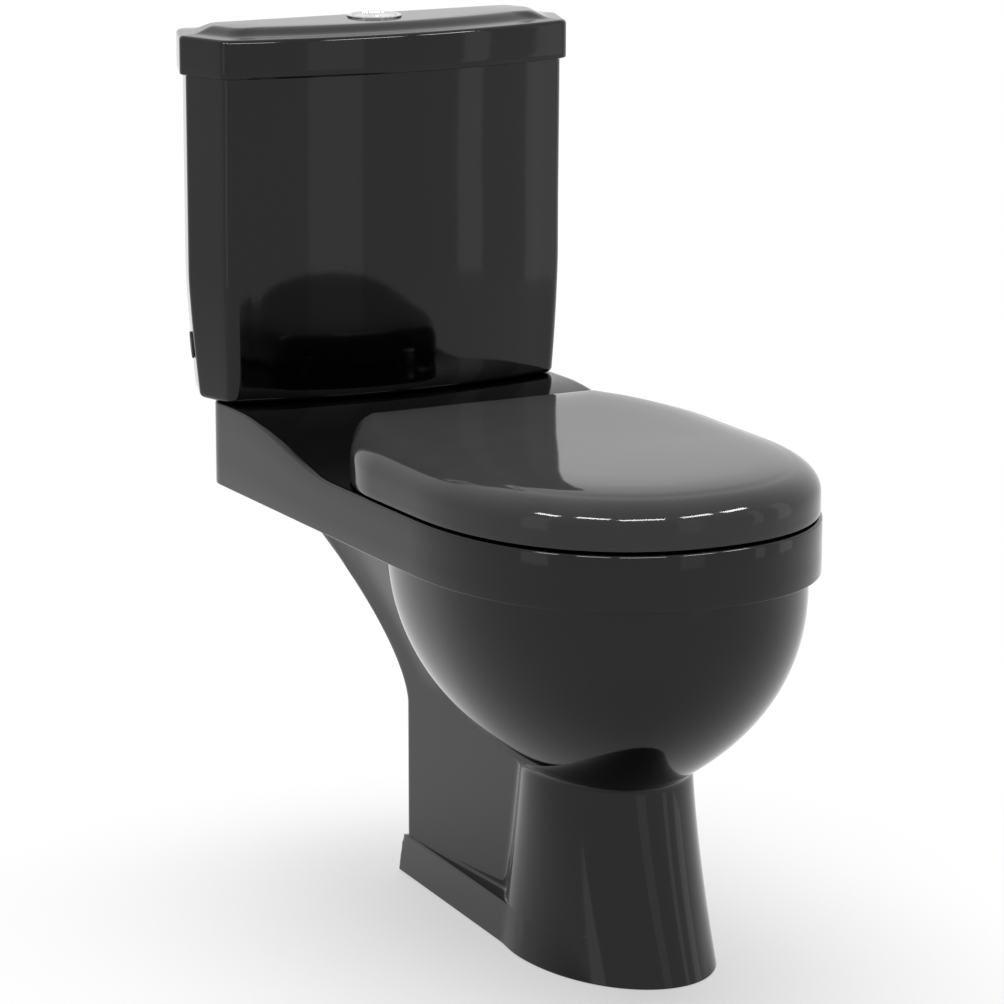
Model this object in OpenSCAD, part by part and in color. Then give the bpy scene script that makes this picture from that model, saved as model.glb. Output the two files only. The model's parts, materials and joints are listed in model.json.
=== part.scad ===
// Close coupled toilet: glazed pan, cistern with lid, dual flush, fill valve and a wrap-over seat.
// X is across, Y runs from the front (-Y) to the wall (+Y), Z is up. All sizes are in millimetres.
// The origin is on the floor, under the middle of the whole object.

/* [Pan] */
// Height of the rim above the floor
rim_z = 400; // [380:1:440]
// Width over the rim
rim_w = 355; // [340:1:370]
// Distance from the origin to the front of the rim
rim_front = 355; // [345:1:370]
// Length of the curved front of the rim
nose_len = 224; // [200:1:235]
// Fullness of the curved front, 2 is an ellipse
nose_power = 2.23; // [2:0.01:2.6]
// Height of the straight band round the rim
band_h = 49.5; // [40:0.5:60]
// Rise of the cistern shelf above the rim
shelf_rise = 28.5; // [15:0.5:32]
// Width of the shelf at its side corners
shelf_w = 345; // [330:1:354]
// Thickness of the deck and of the skirt round it
china_t = 15; // [12:1:18]
// Depth of the bowl's outside below the band
bowl_drop = 217; // [205:1:225]
// Width of the pedestal's straight flanks
flank_w = 115; // [110:1:120]
// Height of the ledge round the foot
ledge_h = 38; // [30:1:45]

/* [Bowl and trap] */
// Width of the opening in the rim
mouth_w = 228; // [215:1:235]
// Length of the opening in the rim
mouth_len = 303; // [285:1:310]
// Bore of the trapway
trap_d = 60; // [52:1:64]
// Depth of the water over the bowl's floor
water_depth = 65; // [60:1:70]
// Bore of the outlet at the floor
outlet_d = 80; // [74:1:86]
// Depth of the outlet's wider socket
outlet_len = 60; // [40:1:80]

/* [Cistern] */
// Width over the cistern lid
lid_w = 390; // [380:1:396]
// Height of the lid's lower edge
lid_z = 731.5; // [715:0.5:745]
// Height of the lid's skirt
lid_skirt = 36; // [30:1:42]
// Rise of the lid's crown
crown_h = 7.5; // [4:1:10]
// Gap between the lid's skirt and the cistern
lid_gap = 1; // [0.6:0.1:1.5]
// Wall of the cistern
cistern_t = 8; // [7:0.5:9]
// Lean of the cistern's front, from its top to its bottom
front_lean = 7; // [0:1:12]
// Narrowing of each side toward the bottom
side_taper = 9; // [5:0.5:11]
// Gap between the cistern and the shelf
couple_gap = 0.8; // [0.5:0.1:0.9]

/* [Flush] */
// Diameter of the button's rim
bezel_d = 50.4; // [46:0.2:54]
// Travel of each button
button_travel = 8; // [6:0.5:9]
// Bore of the flush valve's tail
flush_bore = 50; // [46:1:52]
// Spacing of the two coupling bolts
couple_pitch = 164; // [156:1:170]
// Diameter of the coupling bolts and seat bolts
bolt_d = 8; // [6:1:9]
// Outside diameter of the inlet's thread
inlet_d = 20.955; // [20.8:0.005:21.1]
// Height of the inlet above the shelf
inlet_rise = 46.5; // [45:0.5:60]

/* [Seat] */
// Thickness of the seat ring
ring_t = 24; // [18:1:25]
// Width of the ring's opening
ring_mouth_w = 222; // [210:1:228]
// Height of the seat buffers
buffer_h = 4; // [3.5:0.1:5]
// Height of the closed lid's top above the rim
seat_top = 49; // [46:1:54]
// Wall of the seat lid
seat_t = 4; // [3:0.2:5]
// Distance between the two hinges
hinge_pitch = 155; // [150:1:160]
// Diameter of the hinge pins
pin_d = 8; // [6:0.5:8]

/* [Fits] */
// Radial clearance of a piece that turns or slides on another
run_fit = 0.05; // [0.02:0.01:0.09]
// Gap between a moving piece and what it rests on
rest_gap = 0.3; // [0.2:0.05:0.4]

/* [Hidden] */
$fn = 64;
glaze = "#26272a";
chrome = "#c9ccd0";
rubber = "#35353a";
white = "#e6e7e8";
brass = "#c8a44e";
arc_n = 14;
side_n = 10;

// ---- the pan's plan ----
half_w = rim_w / 2;
nose_y = nose_len - rim_front;
flush_y = 294;
corner_y = flush_y - 9;
pan_rear = flush_y + 51;
rear_w = 264;
band_z = rim_z - band_h;
shelf_z = rim_z + shelf_rise;
ramp_front = 30;
ramp_rear = flush_y - 60;
edge_r = 3;
deck_z = rim_z - china_t;

// ---- the bowl ----
bowl_y = 210 - rim_front;
bowl_w = 332;
bowl_front = 207;
bowl_rear = 250;
bowl_power = 2.05;
bowl_shift = 12;
fall_in = 2.32;
fall_out = 0.794;
mouth_y = 205 - rim_front;
mouth_power = 2.15;
mouth_edge = 5;
lip_t = 9;
bowl_t = 14;
cavity_drop = bowl_drop - 21.5;
cavity_floor = band_z - cavity_drop;
cavity_w = bowl_w - 2 * bowl_t;
cavity_front = bowl_front - bowl_t - 2;
cavity_rear = 168;
cavity_back = 60;

// ---- the pedestal ----
column_y = 202 - rim_front;
column_top = rim_z - 210;
flank_rear = 122;
sweep_z = rim_z - 235;
fan_z = rim_z - 213;
fan_w = 24;
foot_rear = 135;
foot_rear_w = 110;
foot_w = 165;
foot_t = 13;

// ---- the trapway, on the plane X = 0 ----
trap_r = trap_d / 2;
water_z = cavity_floor + water_depth;
crest_r = 40;
crest_y = 30;
crest_z = water_z + trap_r - crest_r;
dip_r = 42;
dip_y = crest_y - crest_r - dip_r;
dip_z = cavity_floor - 10;
sump_y = mouth_y;
outlet_y = crest_y + crest_r;

// ---- the cistern's plan ----
front_mid = flush_y - 77;
front_bow = 26;
wide_half = lid_w / 2 + 1;
front_half = wide_half - 19.5;
wide_y = flush_y + 5;
rear_half = wide_half - 21.5;
rear_y = flush_y + 61;
body_inset = 5.5;
taper_z = lid_z - 186.5;
inlet_z = shelf_z + inlet_rise;
inlet_low = inlet_z - 20;
inlet_high = inlet_z + 25;
cistern_z = shelf_z + couple_gap;
rebate = 20;
cistern_top = lid_z + rebate;
cistern_floor = cistern_z + cistern_t + 2;
crown_z = lid_z + lid_skirt + crown_h;
lid_t = 9;
lid_under = crown_z - lid_t;
couple_x = couple_pitch / 2;

// ---- the seat and its hinges ----
seat_half = half_w - 1;
seat_straight_y = -50;
seat_rear = 82;
seat_narrowing = 27;
seat_corner = 37;
seat_fold = 32;
seat_rise = 4.2;
seat_shoulder = 40;
hinge_x = hinge_pitch / 2;
hinge_y = seat_rear - 12;
hinge_z = rim_z + 21;
hole_y = hinge_y - 10;
barrel_r = 7;
barrel_l = 24;
ear_l = 12;
ring_z = rim_z + buffer_h;
ring_top = ring_z + ring_t;
seat_z = rim_z + 2.5;
ring_inset = 8;
ring_rear = 42;
pin_r = pin_d / 2;
pocket_z = rim_z - 18;

// ---- the flush gear ----
bolt_r = bolt_d / 2;
hole_gap = 1;
thread_gap = 0.2;
well_r = 47;
well_z = shelf_z - 28;
tail_r = flush_bore / 2 + 5;
valve_seat_z = cistern_floor + 14;
seal_t = 3;
cage_top = lid_z - 91.5;
lift_r = 10;
lift_travel = 1.5 * button_travel;
button_r = bezel_d / 2 - 5;
barrel_wall = 2.2;
split_x = -4;
rod_x = 14;
rod_r = 2.5;
rod_depth = 10;
socket_depth = rod_depth + button_travel + 4;
inlet_from_corner = 28;
fill_reach = 42;
tail_l = 17;
nut_h = 5;
washer_r = 15;
washer_t = 3;
face_gap = 0.3;
float_z = inlet_z + 45;
float_h = 60;
float_travel = 45;
cap_h = 12;
fill_top = float_z + float_h + float_travel + cap_h + 23;
riser_r = 11;

// ---- outlines ----
function unit(v) = v / norm(v);
function smooth(t) = let (c = min(max(t, 0), 1)) c * c * (3 - 2 * c);
// the left half of an outline follows its right half, back to the front
function both(h) = concat(h, [for (i = [len(h) - 1 : -1 : 0]) if (h[i][0] > 0.001) [-h[i][0], h[i][1]]]);
function raised(outline, z) = [for (p = both(outline)) [p[0], p[1], z]];
// a quarter of a superellipse, from the centre line (a = 0) to the side (a = 90)
function quarter(w, l, y, power, from, to, n) = [
    for (i = [0 : n]) let (a = from + (to - from) * i / n)
        [w * pow(sin(a), 2 / power), y - sign(90 - a) * l * pow(abs(cos(a)), 2 / power)]];
function oval(w, front, rear, y, power, n = arc_n) = concat(
    quarter(w, front, y, power, 0, 90, n),
    [for (p = quarter(w, rear, y, power, 100, 180, n - 2)) p]);
// a corner b between a and c, rounded by radius r
function fillet(a, b, c, r, n = 4) =
    let (u = unit(a - b), v = unit(c - b), h = acos(u * v) / 2,
         o = b + unit(u + v) * r / sin(h),
         s = b + u * r / tan(h) - o, e = b + v * r / tan(h) - o)
    [for (i = [0 : n]) o + r * unit(s * (n - i) / n + e * i / n)];

function rim_half(d) = concat(
    quarter(half_w - d, nose_len - d, nose_y, nose_power, 0, 90, arc_n),
    [for (i = [1 : side_n]) let (f = i / side_n)
        [half_w - d - f * (rim_w - shelf_w) / 2, nose_y + f * (corner_y - nose_y)]],
    [[rear_w / 2 - d, pan_rear - d]]);
function deck_top(y) = rim_z + shelf_rise * smooth((y - ramp_front) / (ramp_rear - ramp_front));
function deck_ring(d, drop) = [for (p = both(rim_half(d))) [p[0], p[1], deck_top(p[1]) - drop]];

function bowl_scale(s) = pow(max(1 - pow(s, fall_in), 0), fall_out);
// a ring of the bowl at depth s, 0 at the top and 1 at the bottom; back brings its rear wall forward
function bowl_ring(w, front, rear, top, drop, s, back = 0) = let (k = bowl_scale(s))
    raised(oval(w / 2 * k, front * k, max(rear * k - back * s, 0.5),
        bowl_y - bowl_shift * s, bowl_power, 12), top - drop * s);

// the right half of the seat's outline, set in by d, with its straight rear edge at y = rear
function seat_half_outline(d, rear) =
    let (draw = rear - seat_corner - seat_straight_y, a = [seat_half - seat_narrowing, rear - seat_corner],
         b = [a[0] - seat_corner * 2 * seat_narrowing / draw, rear], k = inward(a, b, [0, rear], d))
    concat(
        quarter(seat_half - d, nose_len - 2 - d, nose_y, nose_power, 0, 90, arc_n),
        [for (t = [0 : 0.2 : 0.8]) [seat_half - d - seat_narrowing * t * t, seat_straight_y + draw * t]],
        fillet(k + a - b, k, [0, k[1]], max(34 - d, 5), 5));
// a level ring of the seat; beyond seat_fold the outline shrinks toward its middle
function seat_outline(d, z, rear = seat_rear) =
    let (e = min(d, seat_fold), f = (seat_half - d) / (seat_half - e))
    [for (p = both(seat_half_outline(e, rear)))
        [p[0] * (d > seat_fold ? f : 1), mouth_y + (p[1] - mouth_y) * (d > seat_fold ? f : 1), z]];

// the corner b between a and c, moved inward by d from both its edges
function inward(a, b, c, d) =
    let (u = unit(a - b), v = unit(c - b)) b + unit(u + v) * d / sin(acos(u * v) / 2);
// the cistern's front corner, widest corner and rear corner, set in by d, and by back at the rear
function cistern_corners(d, side, lean, back) =
    let (a = [front_half - side * 0.4, front_mid + front_bow + lean],
         b = [wide_half - side * 1.15, wide_y], c = [rear_half - side, rear_y],
         front = a - [30, front_bow * 0.3], wide = inward(a, b, c, d))
    [inward(front, a, b, d), wide, wide + (c - b) * (rear_y - back - wide[1]) / (rear_y - wide_y)];
function cistern_half(d, side = 0, lean = 0, back = undef) =
    let (k = cistern_corners(d, side, lean, is_undef(back) ? d : back), x1 = k[0][0] - 22)
    concat(
        [for (i = [0 : 5]) [x1 * i / 5, front_mid + lean + d + front_bow * pow(x1 * i / 5 / k[0][0], 2)]],
        fillet(k[0] - [30, front_bow * 0.3], k[0], k[1], 14),
        fillet(k[0], k[1], k[2], 8),
        fillet(k[1], k[2], [0, k[2][1]], 10));

// ---- solids ----
// triangles across one end of a ring that is the same on both sides of X = 0
function end_faces(m) = [
    for (i = [0 : floor(m / 2) - 1]) let (r = i + 1, q = m - 1 - i, l = (m - i) % m) if (r <= q)
        each concat(r < q ? [[i, r, q]] : [], i != l ? [[i, q, l]] : [])];
// a closed solid through rings of points, from the lowest to the highest
module loft(rings) {
    m = len(rings[0]);
    top = (len(rings) - 1) * m;
    sides = [
        for (k = [0 : len(rings) - 2], i = [0 : m - 1])
            let (a = k * m + i, b = k * m + (i + 1) % m) each [[a, b + m, b], [a, a + m, b + m]]];
    low = end_faces(m);
    high = [for (f = low) [f[2] + top, f[1] + top, f[0] + top]];
    polyhedron([for (r = rings) each r], concat(low, sides, high), convexity = 8);
}
module pair(x) {
    for (s = [-1, 1]) translate([s * x, 0, 0]) children();
}
module rod(r, z0, z1) {
    translate([0, 0, z0]) cylinder(r = r, h = z1 - z0);
}
module tube(r, bore, z0, z1) {
    difference() {
        rod(r, z0, z1);
        rod(bore, z0 - 1, z1 + 1);
    }
}
// a cylinder along X
module axle(r, x0, x1) {
    translate([x0, 0, 0]) rotate([0, 90, 0]) cylinder(r = r, h = x1 - x0);
}
module wing_nut(z0, z1) {
    tube(bolt_r + 4, bolt_r + thread_gap, z0, z1);
    for (s = [-1, 1]) difference() {
        translate([s * (bolt_r + 8), 0, (z0 + z1) / 2]) cube([12, 3, z1 - z0], center = true);
        rod(bolt_r + 3, z0 - 1, z1 + 1);
    }
}

// ---- the pan ----
module deck() {
    difference() {
        loft([
            raised(rim_half(0.5), band_z), raised(rim_half(0), band_z + 1),
            deck_ring(0, edge_r), deck_ring(edge_r * 0.3, edge_r * 0.3), deck_ring(edge_r, 0)]);
        // open underneath, behind the bowl
        skirt = shelf_w / 2 - china_t;
        recess = both([[0, 18], [half_w - 50, 20], [skirt, 60], [skirt, 180], [skirt, corner_y - 8],
            [rear_w / 2 - china_t, pan_rear - china_t]]);
        loft([[for (p = recess) [p[0], p[1], band_z - 30]],
            [for (p = recess) [p[0], p[1], deck_top(p[1]) - china_t]]]);
    }
}
module bowl_outside() {
    n = 13;
    loft([for (i = [n : -1 : 0]) let (s = 0.999 * sin(90 * i / n))
        if (i > 0) bowl_ring(bowl_w, bowl_front, bowl_rear, band_z, bowl_drop, s)
        else raised(oval(bowl_w / 2, bowl_front, bowl_rear, bowl_y, bowl_power, 12), deck_z + 4)]);
}
function flank_half(z) = flank_w / 2 + fan_w * max(z - fan_z, 0) / (band_z - fan_z);
// the back of the flank, swept out toward the shelf
function sweep_y(z) = min(pan_rear - 3, flank_rear + 0.0559 * pow(max(z - sweep_z, 0), 1.68));
module flank() {
    heights = concat([10, 100, sweep_z - 5, sweep_z + 3, sweep_z + 11, fan_z, fan_z + 9],
        [for (i = [0 : 9]) fan_z + 19 + 13 * i], [deck_z + 4]);
    loft([for (z = heights) let (w = flank_half(z), r = flank_w / 2, y = sweep_y(z))
        raised([[0, column_y - 4], [w - 4, column_y], [w, column_y + 40], [w, 50], [r, max(y - 40, 80)],
            [r, y - 10], [r - 3, y - 3], [r - 10, y]], z)]);
}
function flare(z) = pow(max(1 - z / column_top, 0), 1.5);
module column(inset, z1) {
    n = 8;
    loft([for (i = [0 : n]) let (z = z1 * i / n, f = flare(z))
        raised(oval(74 + 9 * f - inset, 79 + 54 * f - inset, 66 + 48 * max(1 - z / column_top, 0) - inset,
            column_y, bowl_power, 10), z)]);
}
module foot() {
    loft([for (e = [[0, 0], [1, ledge_h]]) raised([
        [0, column_y - 4], [foot_w / 2 - e[0], column_y],
        [foot_rear_w / 2 + 4 - e[0], foot_rear - 9 * e[0] - 9],
        [foot_rear_w / 2 - e[0], foot_rear - 9 * e[0]]], e[1])]);
}
// a level ring round the mouth, out by d
function mouth(d, z) = raised(oval(mouth_w / 2 + d, mouth_len / 2 + d, mouth_len / 2 + d,
    mouth_y, mouth_power), z);
module cavity() {
    n = 13;
    // the mouth, with its rounded edge
    loft(concat([mouth(0, band_z + 3)],
        [for (f = [0, 0.7, 1]) mouth(mouth_edge * (f == 0.7 ? 0.3 : f), rim_z - mouth_edge * (1 - f))],
        [mouth(mouth_edge, rim_z + 1)]));
    loft([for (i = [n : -1 : 0]) let (s = 0.998 * sin(90 * i / n))
        bowl_ring(cavity_w, cavity_front, cavity_rear, band_z + 4, cavity_drop + 4, s, cavity_back)]);
    // the flush channel inside the rim, open below
    difference() {
        loft([for (z = [band_z, deck_z])
            raised(oval(cavity_w / 2, cavity_front, cavity_rear, bowl_y, bowl_power), z)]);
        loft([for (z = [band_z - 1, deck_z + 1]) mouth(lip_t, z)]);
    }
}
// a bend in the plane X = 0 about (y, z), from angle a over turn degrees
module bend(y, z, r, a, turn) {
    translate([0, y, z]) rotate([90, 0, 90]) rotate([0, 0, a])
        rotate_extrude(angle = turn) translate([r, 0]) circle(r = trap_r);
}
module trapway() {
    // from the sump back under the dip, up, over the weir and down to the floor
    translate([0, sump_y, dip_z]) {
        sphere(r = trap_r);
        rotate([-90, 0, 0]) cylinder(r = trap_r, h = dip_y - sump_y);
    }
    bend(dip_y, dip_z + dip_r, dip_r, -90, 90);
    translate([0, dip_y + dip_r, 0]) rod(trap_r, dip_z + dip_r, crest_z);
    bend(crest_y, crest_z, crest_r, 0, 180);
    translate([0, outlet_y, 0]) {
        rod(trap_r, -1, crest_z);
        rod(outlet_d / 2, -1, outlet_len);
    }
}
module flush_way() {
    translate([0, flush_y, 0]) {
        rod(well_r, well_z, shelf_z + 1);
        rod(flush_bore / 2, well_z - 40, shelf_z);
    }
    translate([0, flush_y, well_z - 40]) {
        sphere(r = flush_bore / 2);
        rotate([90, 0, 0]) cylinder(r = flush_bore / 2, h = flush_y - bowl_y - 155);
    }
}
module pan() {
    color(glaze) difference() {
        union() {
            deck();
            bowl_outside();
            flank();
            column(0, column_top + 30);
            foot();
        }
        cavity();
        trapway();
        flush_way();
        translate([0, 0, -0.01]) column(foot_t, 90);
        // holes for the seat, with a flat land above and room for the nut below
        pair(hinge_x) translate([0, hole_y, 0]) {
            rod(7.5, pocket_z - 10, rim_z + 1);
            rod(17.5, rim_z, rim_z + 20);
        }
        for (s = [-1, 1]) scale([s, 1, 1]) translate([hinge_x - 22, hole_y - 22, band_z - 34])
            cube([80, 75, pocket_z - band_z + 34]);
        // holes for the coupling bolts
        pair(couple_x) translate([0, flush_y, 0]) {
            rod(6, shelf_z - 40, shelf_z + 1);
            rod(20, band_z, shelf_z - china_t);
        }
    }
}

// ---- the cistern ----
function taper(z) = side_taper * pow(max(taper_z - z, 0) / (taper_z - cistern_z), 1.3);
function lean(z) = front_lean * pow(max(cistern_top - z, 0) / (cistern_top - cistern_z), 1.3);
module cistern_solid(d, z0, r, z1) {
    loft(concat(
        [for (a = [0, 25, 50, 75]) let (z = z0 + r * (1 - sin(a)))
            raised(cistern_half(body_inset + d + r * (1 - sin(a)), taper(z), lean(z), d + r * (1 - sin(a))),
                z0 + r * (1 - cos(a)))],
        [for (z = concat([z0 + r, inlet_low],
            [for (f = [0 : 3]) inlet_high + (taper_z - inlet_high) * f / 3], [650, z1]))
            raised(cistern_half(body_inset + d, taper(z), lean(z), d), z)]));
}
// the flat rear side of the cistern at the inlet: its corner, its direction and its draft
inlet_side = taper(inlet_low) + (taper(inlet_high) - taper(inlet_low)) * (inlet_z - inlet_low)
    / (inlet_high - inlet_low);
inlet_corners = cistern_corners(body_inset, inlet_side, 0, 0);
inlet_along = unit(inlet_corners[2] - inlet_corners[1]);
inlet_turn = atan2(-inlet_along[0], inlet_along[1]);
inlet_draft = atan(cos(inlet_turn) * (taper(inlet_low) - taper(inlet_high)) / (inlet_high - inlet_low));
inlet_at = inlet_corners[1] + inlet_along * inlet_from_corner;
fill_at = inlet_at - [cos(inlet_turn), sin(inlet_turn)] * fill_reach;
// puts a piece on that side, with Z along the outward normal
module at_inlet(side) {
    mirror([side < 0 ? 1 : 0, 0, 0]) translate([inlet_at[0], inlet_at[1], inlet_z])
        rotate([0, 0, inlet_turn]) rotate([0, 90 + inlet_draft, 0]) children();
}
module cistern() {
    color(glaze) difference() {
        cistern_solid(0, cistern_z, 9, cistern_top);
        cistern_solid(cistern_t, cistern_floor, 6, cistern_top + 1);
        translate([0, flush_y, 0]) rod(tail_r + hole_gap, cistern_z - 1, cistern_floor + 1);
        pair(couple_x) translate([0, flush_y, 0]) rod(bolt_r + 2, cistern_z - 1, cistern_floor + 1);
        for (s = [-1, 1]) at_inlet(s) rod(inlet_d / 2 + hole_gap, -20, 5);
    }
}
module cistern_lid() {
    e = 4;
    top = lid_z + lid_skirt;
    color(glaze) difference() {
        loft(concat(
            [for (f = [[1.5, 0], [0, 2], [0, lid_skirt - e], [1.2, lid_skirt - 1.2], [e, lid_skirt]])
                raised(cistern_half(f[0]), lid_z + f[1])],
            [for (f = [[14, 0.6], [18, 2.5], [24, crown_h * 0.8], [31, crown_h]])
                raised(cistern_half(f[0]), top + f[1])]));
        // the rebate that drops over the cistern's walls, open at the back, and the hollow above it
        loft([for (z = [lid_z - 1, cistern_top + 0.3])
            raised(cistern_half(body_inset - lid_gap, 0, 0, -1), z)]);
        loft([for (f = [[20, lid_z + 5], [20, top - lid_t], [33, lid_under]])
            raised(cistern_half(f[0]), f[1])]);
        translate([0, flush_y, 0]) {
            rod(button_r + barrel_wall + 0.6, lid_under - 4, crown_z + 1);
            rod(bezel_d / 2 + 0.6, crown_z - 1, crown_z + 1);
        }
    }
}

// ---- the seat ----
// insets and heights of the lid's outside (t = 0) or inside (t = its wall)
function seat_profile(t) = concat(
    [for (a = [0, 22, 44, 66, 90])
        [t + (30 - t) * (1 - cos(a)), rim_z + 20 + (seat_top - 25 - t) * sin(a)]],
    [[60, rim_z + seat_top - 2.6 - t], [100, rim_z + seat_top - 0.6 - t], [140, rim_z + seat_top - t]]);
// the lid's rear edge is rounded less than its front and sides, and its top rises toward the rear
function lid_rise(y) = seat_rise * pow(max((y - mouth_y) / (seat_rear - mouth_y), 0), 1.5);
function lid_rings(t) = [for (p = seat_profile(t))
    [for (q = seat_outline(p[0], p[1], seat_rear + 0.75 * (min(p[0], seat_fold) - t)))
        [q[0], q[1], q[2] + lid_rise(q[1]) * min((q[2] - seat_z) / seat_shoulder, 1)]]];
// the buffers' places on the ring, as [x, y] on the right
ring_buffer_at = [[132, -60], [76, -292]];
lid_buffer_at = [[133, -112], [60, -296]];
lid_boss_z = rim_z + 38;
module at_both(places) {
    for (p = places) pair(p[0]) translate([0, p[1], 0]) children();
}
module seat_lid() {
    color(glaze) difference() {
        union() {
            difference() {
                loft(concat([seat_outline(1, seat_z), seat_outline(0, seat_z + 1)], lid_rings(0)));
                loft(concat([seat_outline(seat_t, seat_z - 1)], lid_rings(seat_t)));
                // the skirt rises with the deck, stops short at the rear and is open round each hinge
                rotate([90, 0, 90]) linear_extrude(height = 2 * half_w, center = true) polygon([
                    [ring_rear, seat_z - 5], [ring_rear, seat_z], [hinge_y - 2, seat_z + 3],
                    [hinge_y - 2, hinge_z - 5.5], [hinge_y + 40, hinge_z - 5.5], [hinge_y + 40, seat_z - 5]]);
                pair(hinge_x) translate([-barrel_l / 2 - 1.5, hinge_y - 2, seat_z - 5])
                    cube([barrel_l + 3, 40, hinge_z + 10 - seat_z + 5]);
            }
            at_both(lid_buffer_at) rod(8, lid_boss_z, rim_z + seat_top - 6);
            for (s = [-1, 1]) scale([s, 1, 1]) translate([0, hinge_y, 0]) {
                x0 = hinge_x + barrel_l / 2 + rest_gap;
                translate([0, 0, hinge_z]) axle(barrel_r, x0, x0 + ear_l);
                translate([x0, -barrel_r, hinge_z])
                    cube([ear_l, 2 * barrel_r, rim_z + seat_top - 7 - hinge_z]);
            }
        }
        for (s = [-1, 1]) scale([s, 1, 1]) translate([0, hinge_y, hinge_z])
            axle(pin_r + run_fit, hinge_x, hinge_x + 40);
    }
}
module seat_ring() {
    color(glaze) difference() {
        union() {
            loft([for (f = [[1, 0], [0, 1], [0, ring_t - 12], [1.5, ring_t - 6], [6, ring_t - 2],
                [14, ring_t]]) seat_outline(ring_inset + f[0], ring_z + f[1], ring_rear)]);
            for (s = [-1, 1]) scale([s, 1, 1]) {
                x1 = hinge_x - barrel_l / 2 - rest_gap;
                translate([0, hinge_y, hinge_z]) axle(barrel_r, x1 - ear_l, x1);
                translate([x1 - ear_l, ring_rear - 24, hinge_z - 5])
                    cube([ear_l, hinge_y - ring_rear + 24, 5 + barrel_r]);
            }
        }
        loft([for (f = [[0, -1], [0, ring_t - 9], [3, ring_t - 3], [9, ring_t], [9, ring_t + 1]])
            raised(oval(ring_mouth_w / 2 + f[0], mouth_len / 2 - 3 + f[0], mouth_len / 2 - 3 + f[0],
                mouth_y, mouth_power), ring_z + f[1])]);
        for (s = [-1, 1]) scale([s, 1, 1]) translate([0, hinge_y, hinge_z])
            axle(pin_r + run_fit, hinge_x - 40, hinge_x);
    }
}
module ring_buffers() {
    color(rubber) at_both(ring_buffer_at) rod(9, rim_z + rest_gap, ring_z);
}
module lid_buffers() {
    color(rubber) at_both(lid_buffer_at) rod(6.5, ring_top + rest_gap, lid_boss_z);
}
module hinge_post(side) {
    color(chrome) translate([side * hinge_x, 0, 0]) difference() {
        union() {
            translate([0, hole_y, 0]) rod(15, rim_z, rim_z + 5);
            translate([0, hinge_y, hinge_z]) axle(barrel_r, -barrel_l / 2, barrel_l / 2);
            translate([-barrel_l / 2, hinge_y - 3.5, rim_z + 3.8])
                cube([barrel_l, 10, hinge_z - rim_z - 6]);
        }
        translate([0, hinge_y, hinge_z]) axle(pin_r + run_fit, -20, 20);
        translate([0, hole_y, 0]) rod(bolt_r + thread_gap, rim_z - 1, rim_z + 6);
    }
}
module hinge_pin(side) {
    color(chrome) scale([side, 1, 1]) translate([0, hinge_y, hinge_z])
        axle(pin_r, hinge_x - barrel_l / 2 - ear_l, hinge_x + barrel_l / 2 + ear_l);
}
module seat_bolts() {
    color(brass) pair(hinge_x) translate([0, hole_y, 0]) {
        rod(bolt_r + 2, rim_z + 5, rim_z + 9);
        rod(bolt_r, pocket_z - 34, rim_z + 5);
    }
}
module seat_cone_washers() {
    color(rubber) pair(hinge_x) translate([0, hole_y, 0])
        tube(13, bolt_r + thread_gap, pocket_z - 4, pocket_z);
}
module seat_wing_nuts() {
    color(white) pair(hinge_x) translate([0, hole_y, 0]) wing_nut(pocket_z - 15, pocket_z - 4);
}

// ---- the buttons in the cistern lid ----
module at_flush() {
    translate([0, flush_y, 0]) children();
}
module button_bezel() {
    color(chrome) at_flush() difference() {
        union() {
            rod(bezel_d / 2, crown_z - 1, crown_z + 1.4);
            translate([0, 0, crown_z + 1.4]) cylinder(r1 = bezel_d / 2, r2 = bezel_d / 2 - 1.2, h = 1);
            rod(button_r + barrel_wall, lid_under - 20, crown_z);
        }
        rod(button_r + 0.3, lid_under - 21, crown_z + 3);
    }
}
module button_nut() {
    color(white) at_flush() difference() {
        translate([0, 0, lid_under - 8]) cylinder(r = button_r + 7, h = 8, $fn = 8);
        rod(button_r + barrel_wall + thread_gap, lid_under - 9, lid_under + 1);
    }
}
// one of the two buttons, cut from the same disc at x = split_x, with its push rod
module button(x0, x1, rod_at) {
    color(chrome) at_flush() {
        intersection() {
            rod(button_r, crown_z - 7, crown_z + 1.2);
            translate([x0, -30, crown_z - 8]) cube([x1 - x0, 60, 12]);
        }
        translate([rod_at, 0, 0]) rod(rod_r, cage_top - rod_depth, crown_z - 7);
    }
}
module half_flush_button() {
    button(-30, split_x - rest_gap, -rod_x);
}
module full_flush_button() {
    button(split_x + rest_gap, 30, rod_x);
}

// ---- the flush valve ----
module flush_valve_body() {
    color(white) at_flush() {
        // the tail, its flange and the seat for the seal
        tube(tail_r, flush_bore / 2, well_z + 3, valve_seat_z);
        tube(tail_r + 12, flush_bore / 2 + 1, cistern_floor, cistern_floor + 5);
        // the cage and its cap, with a socket for each push rod and a guide for the lift tube
        for (a = [45 : 90 : 315]) rotate([0, 0, a])
            translate([tail_r + 6, -4, cistern_floor + 4]) cube([4, 8, cage_top - cistern_floor - 10]);
        difference() {
            rod(tail_r + 10, cage_top - socket_depth - 4, cage_top);
            rod(lift_r + run_fit, cage_top - 40, cage_top + 1);
            pair(rod_x) rod(rod_r + 0.7, cage_top - socket_depth, cage_top + 1);
        }
    }
}
module flush_valve_lift() {
    color("#c33b3b") at_flush() {
        base = valve_seat_z + rest_gap + seal_t;
        tube(lift_r, lift_r - 2, base, cage_top + lift_travel / 2);
        tube(tail_r - 1, lift_r - 1, base, base + 3);
    }
}
module flush_valve_seal() {
    color(rubber) at_flush()
        tube(tail_r - 1, lift_r - 2, valve_seat_z + rest_gap, valve_seat_z + rest_gap + seal_t);
}
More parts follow.
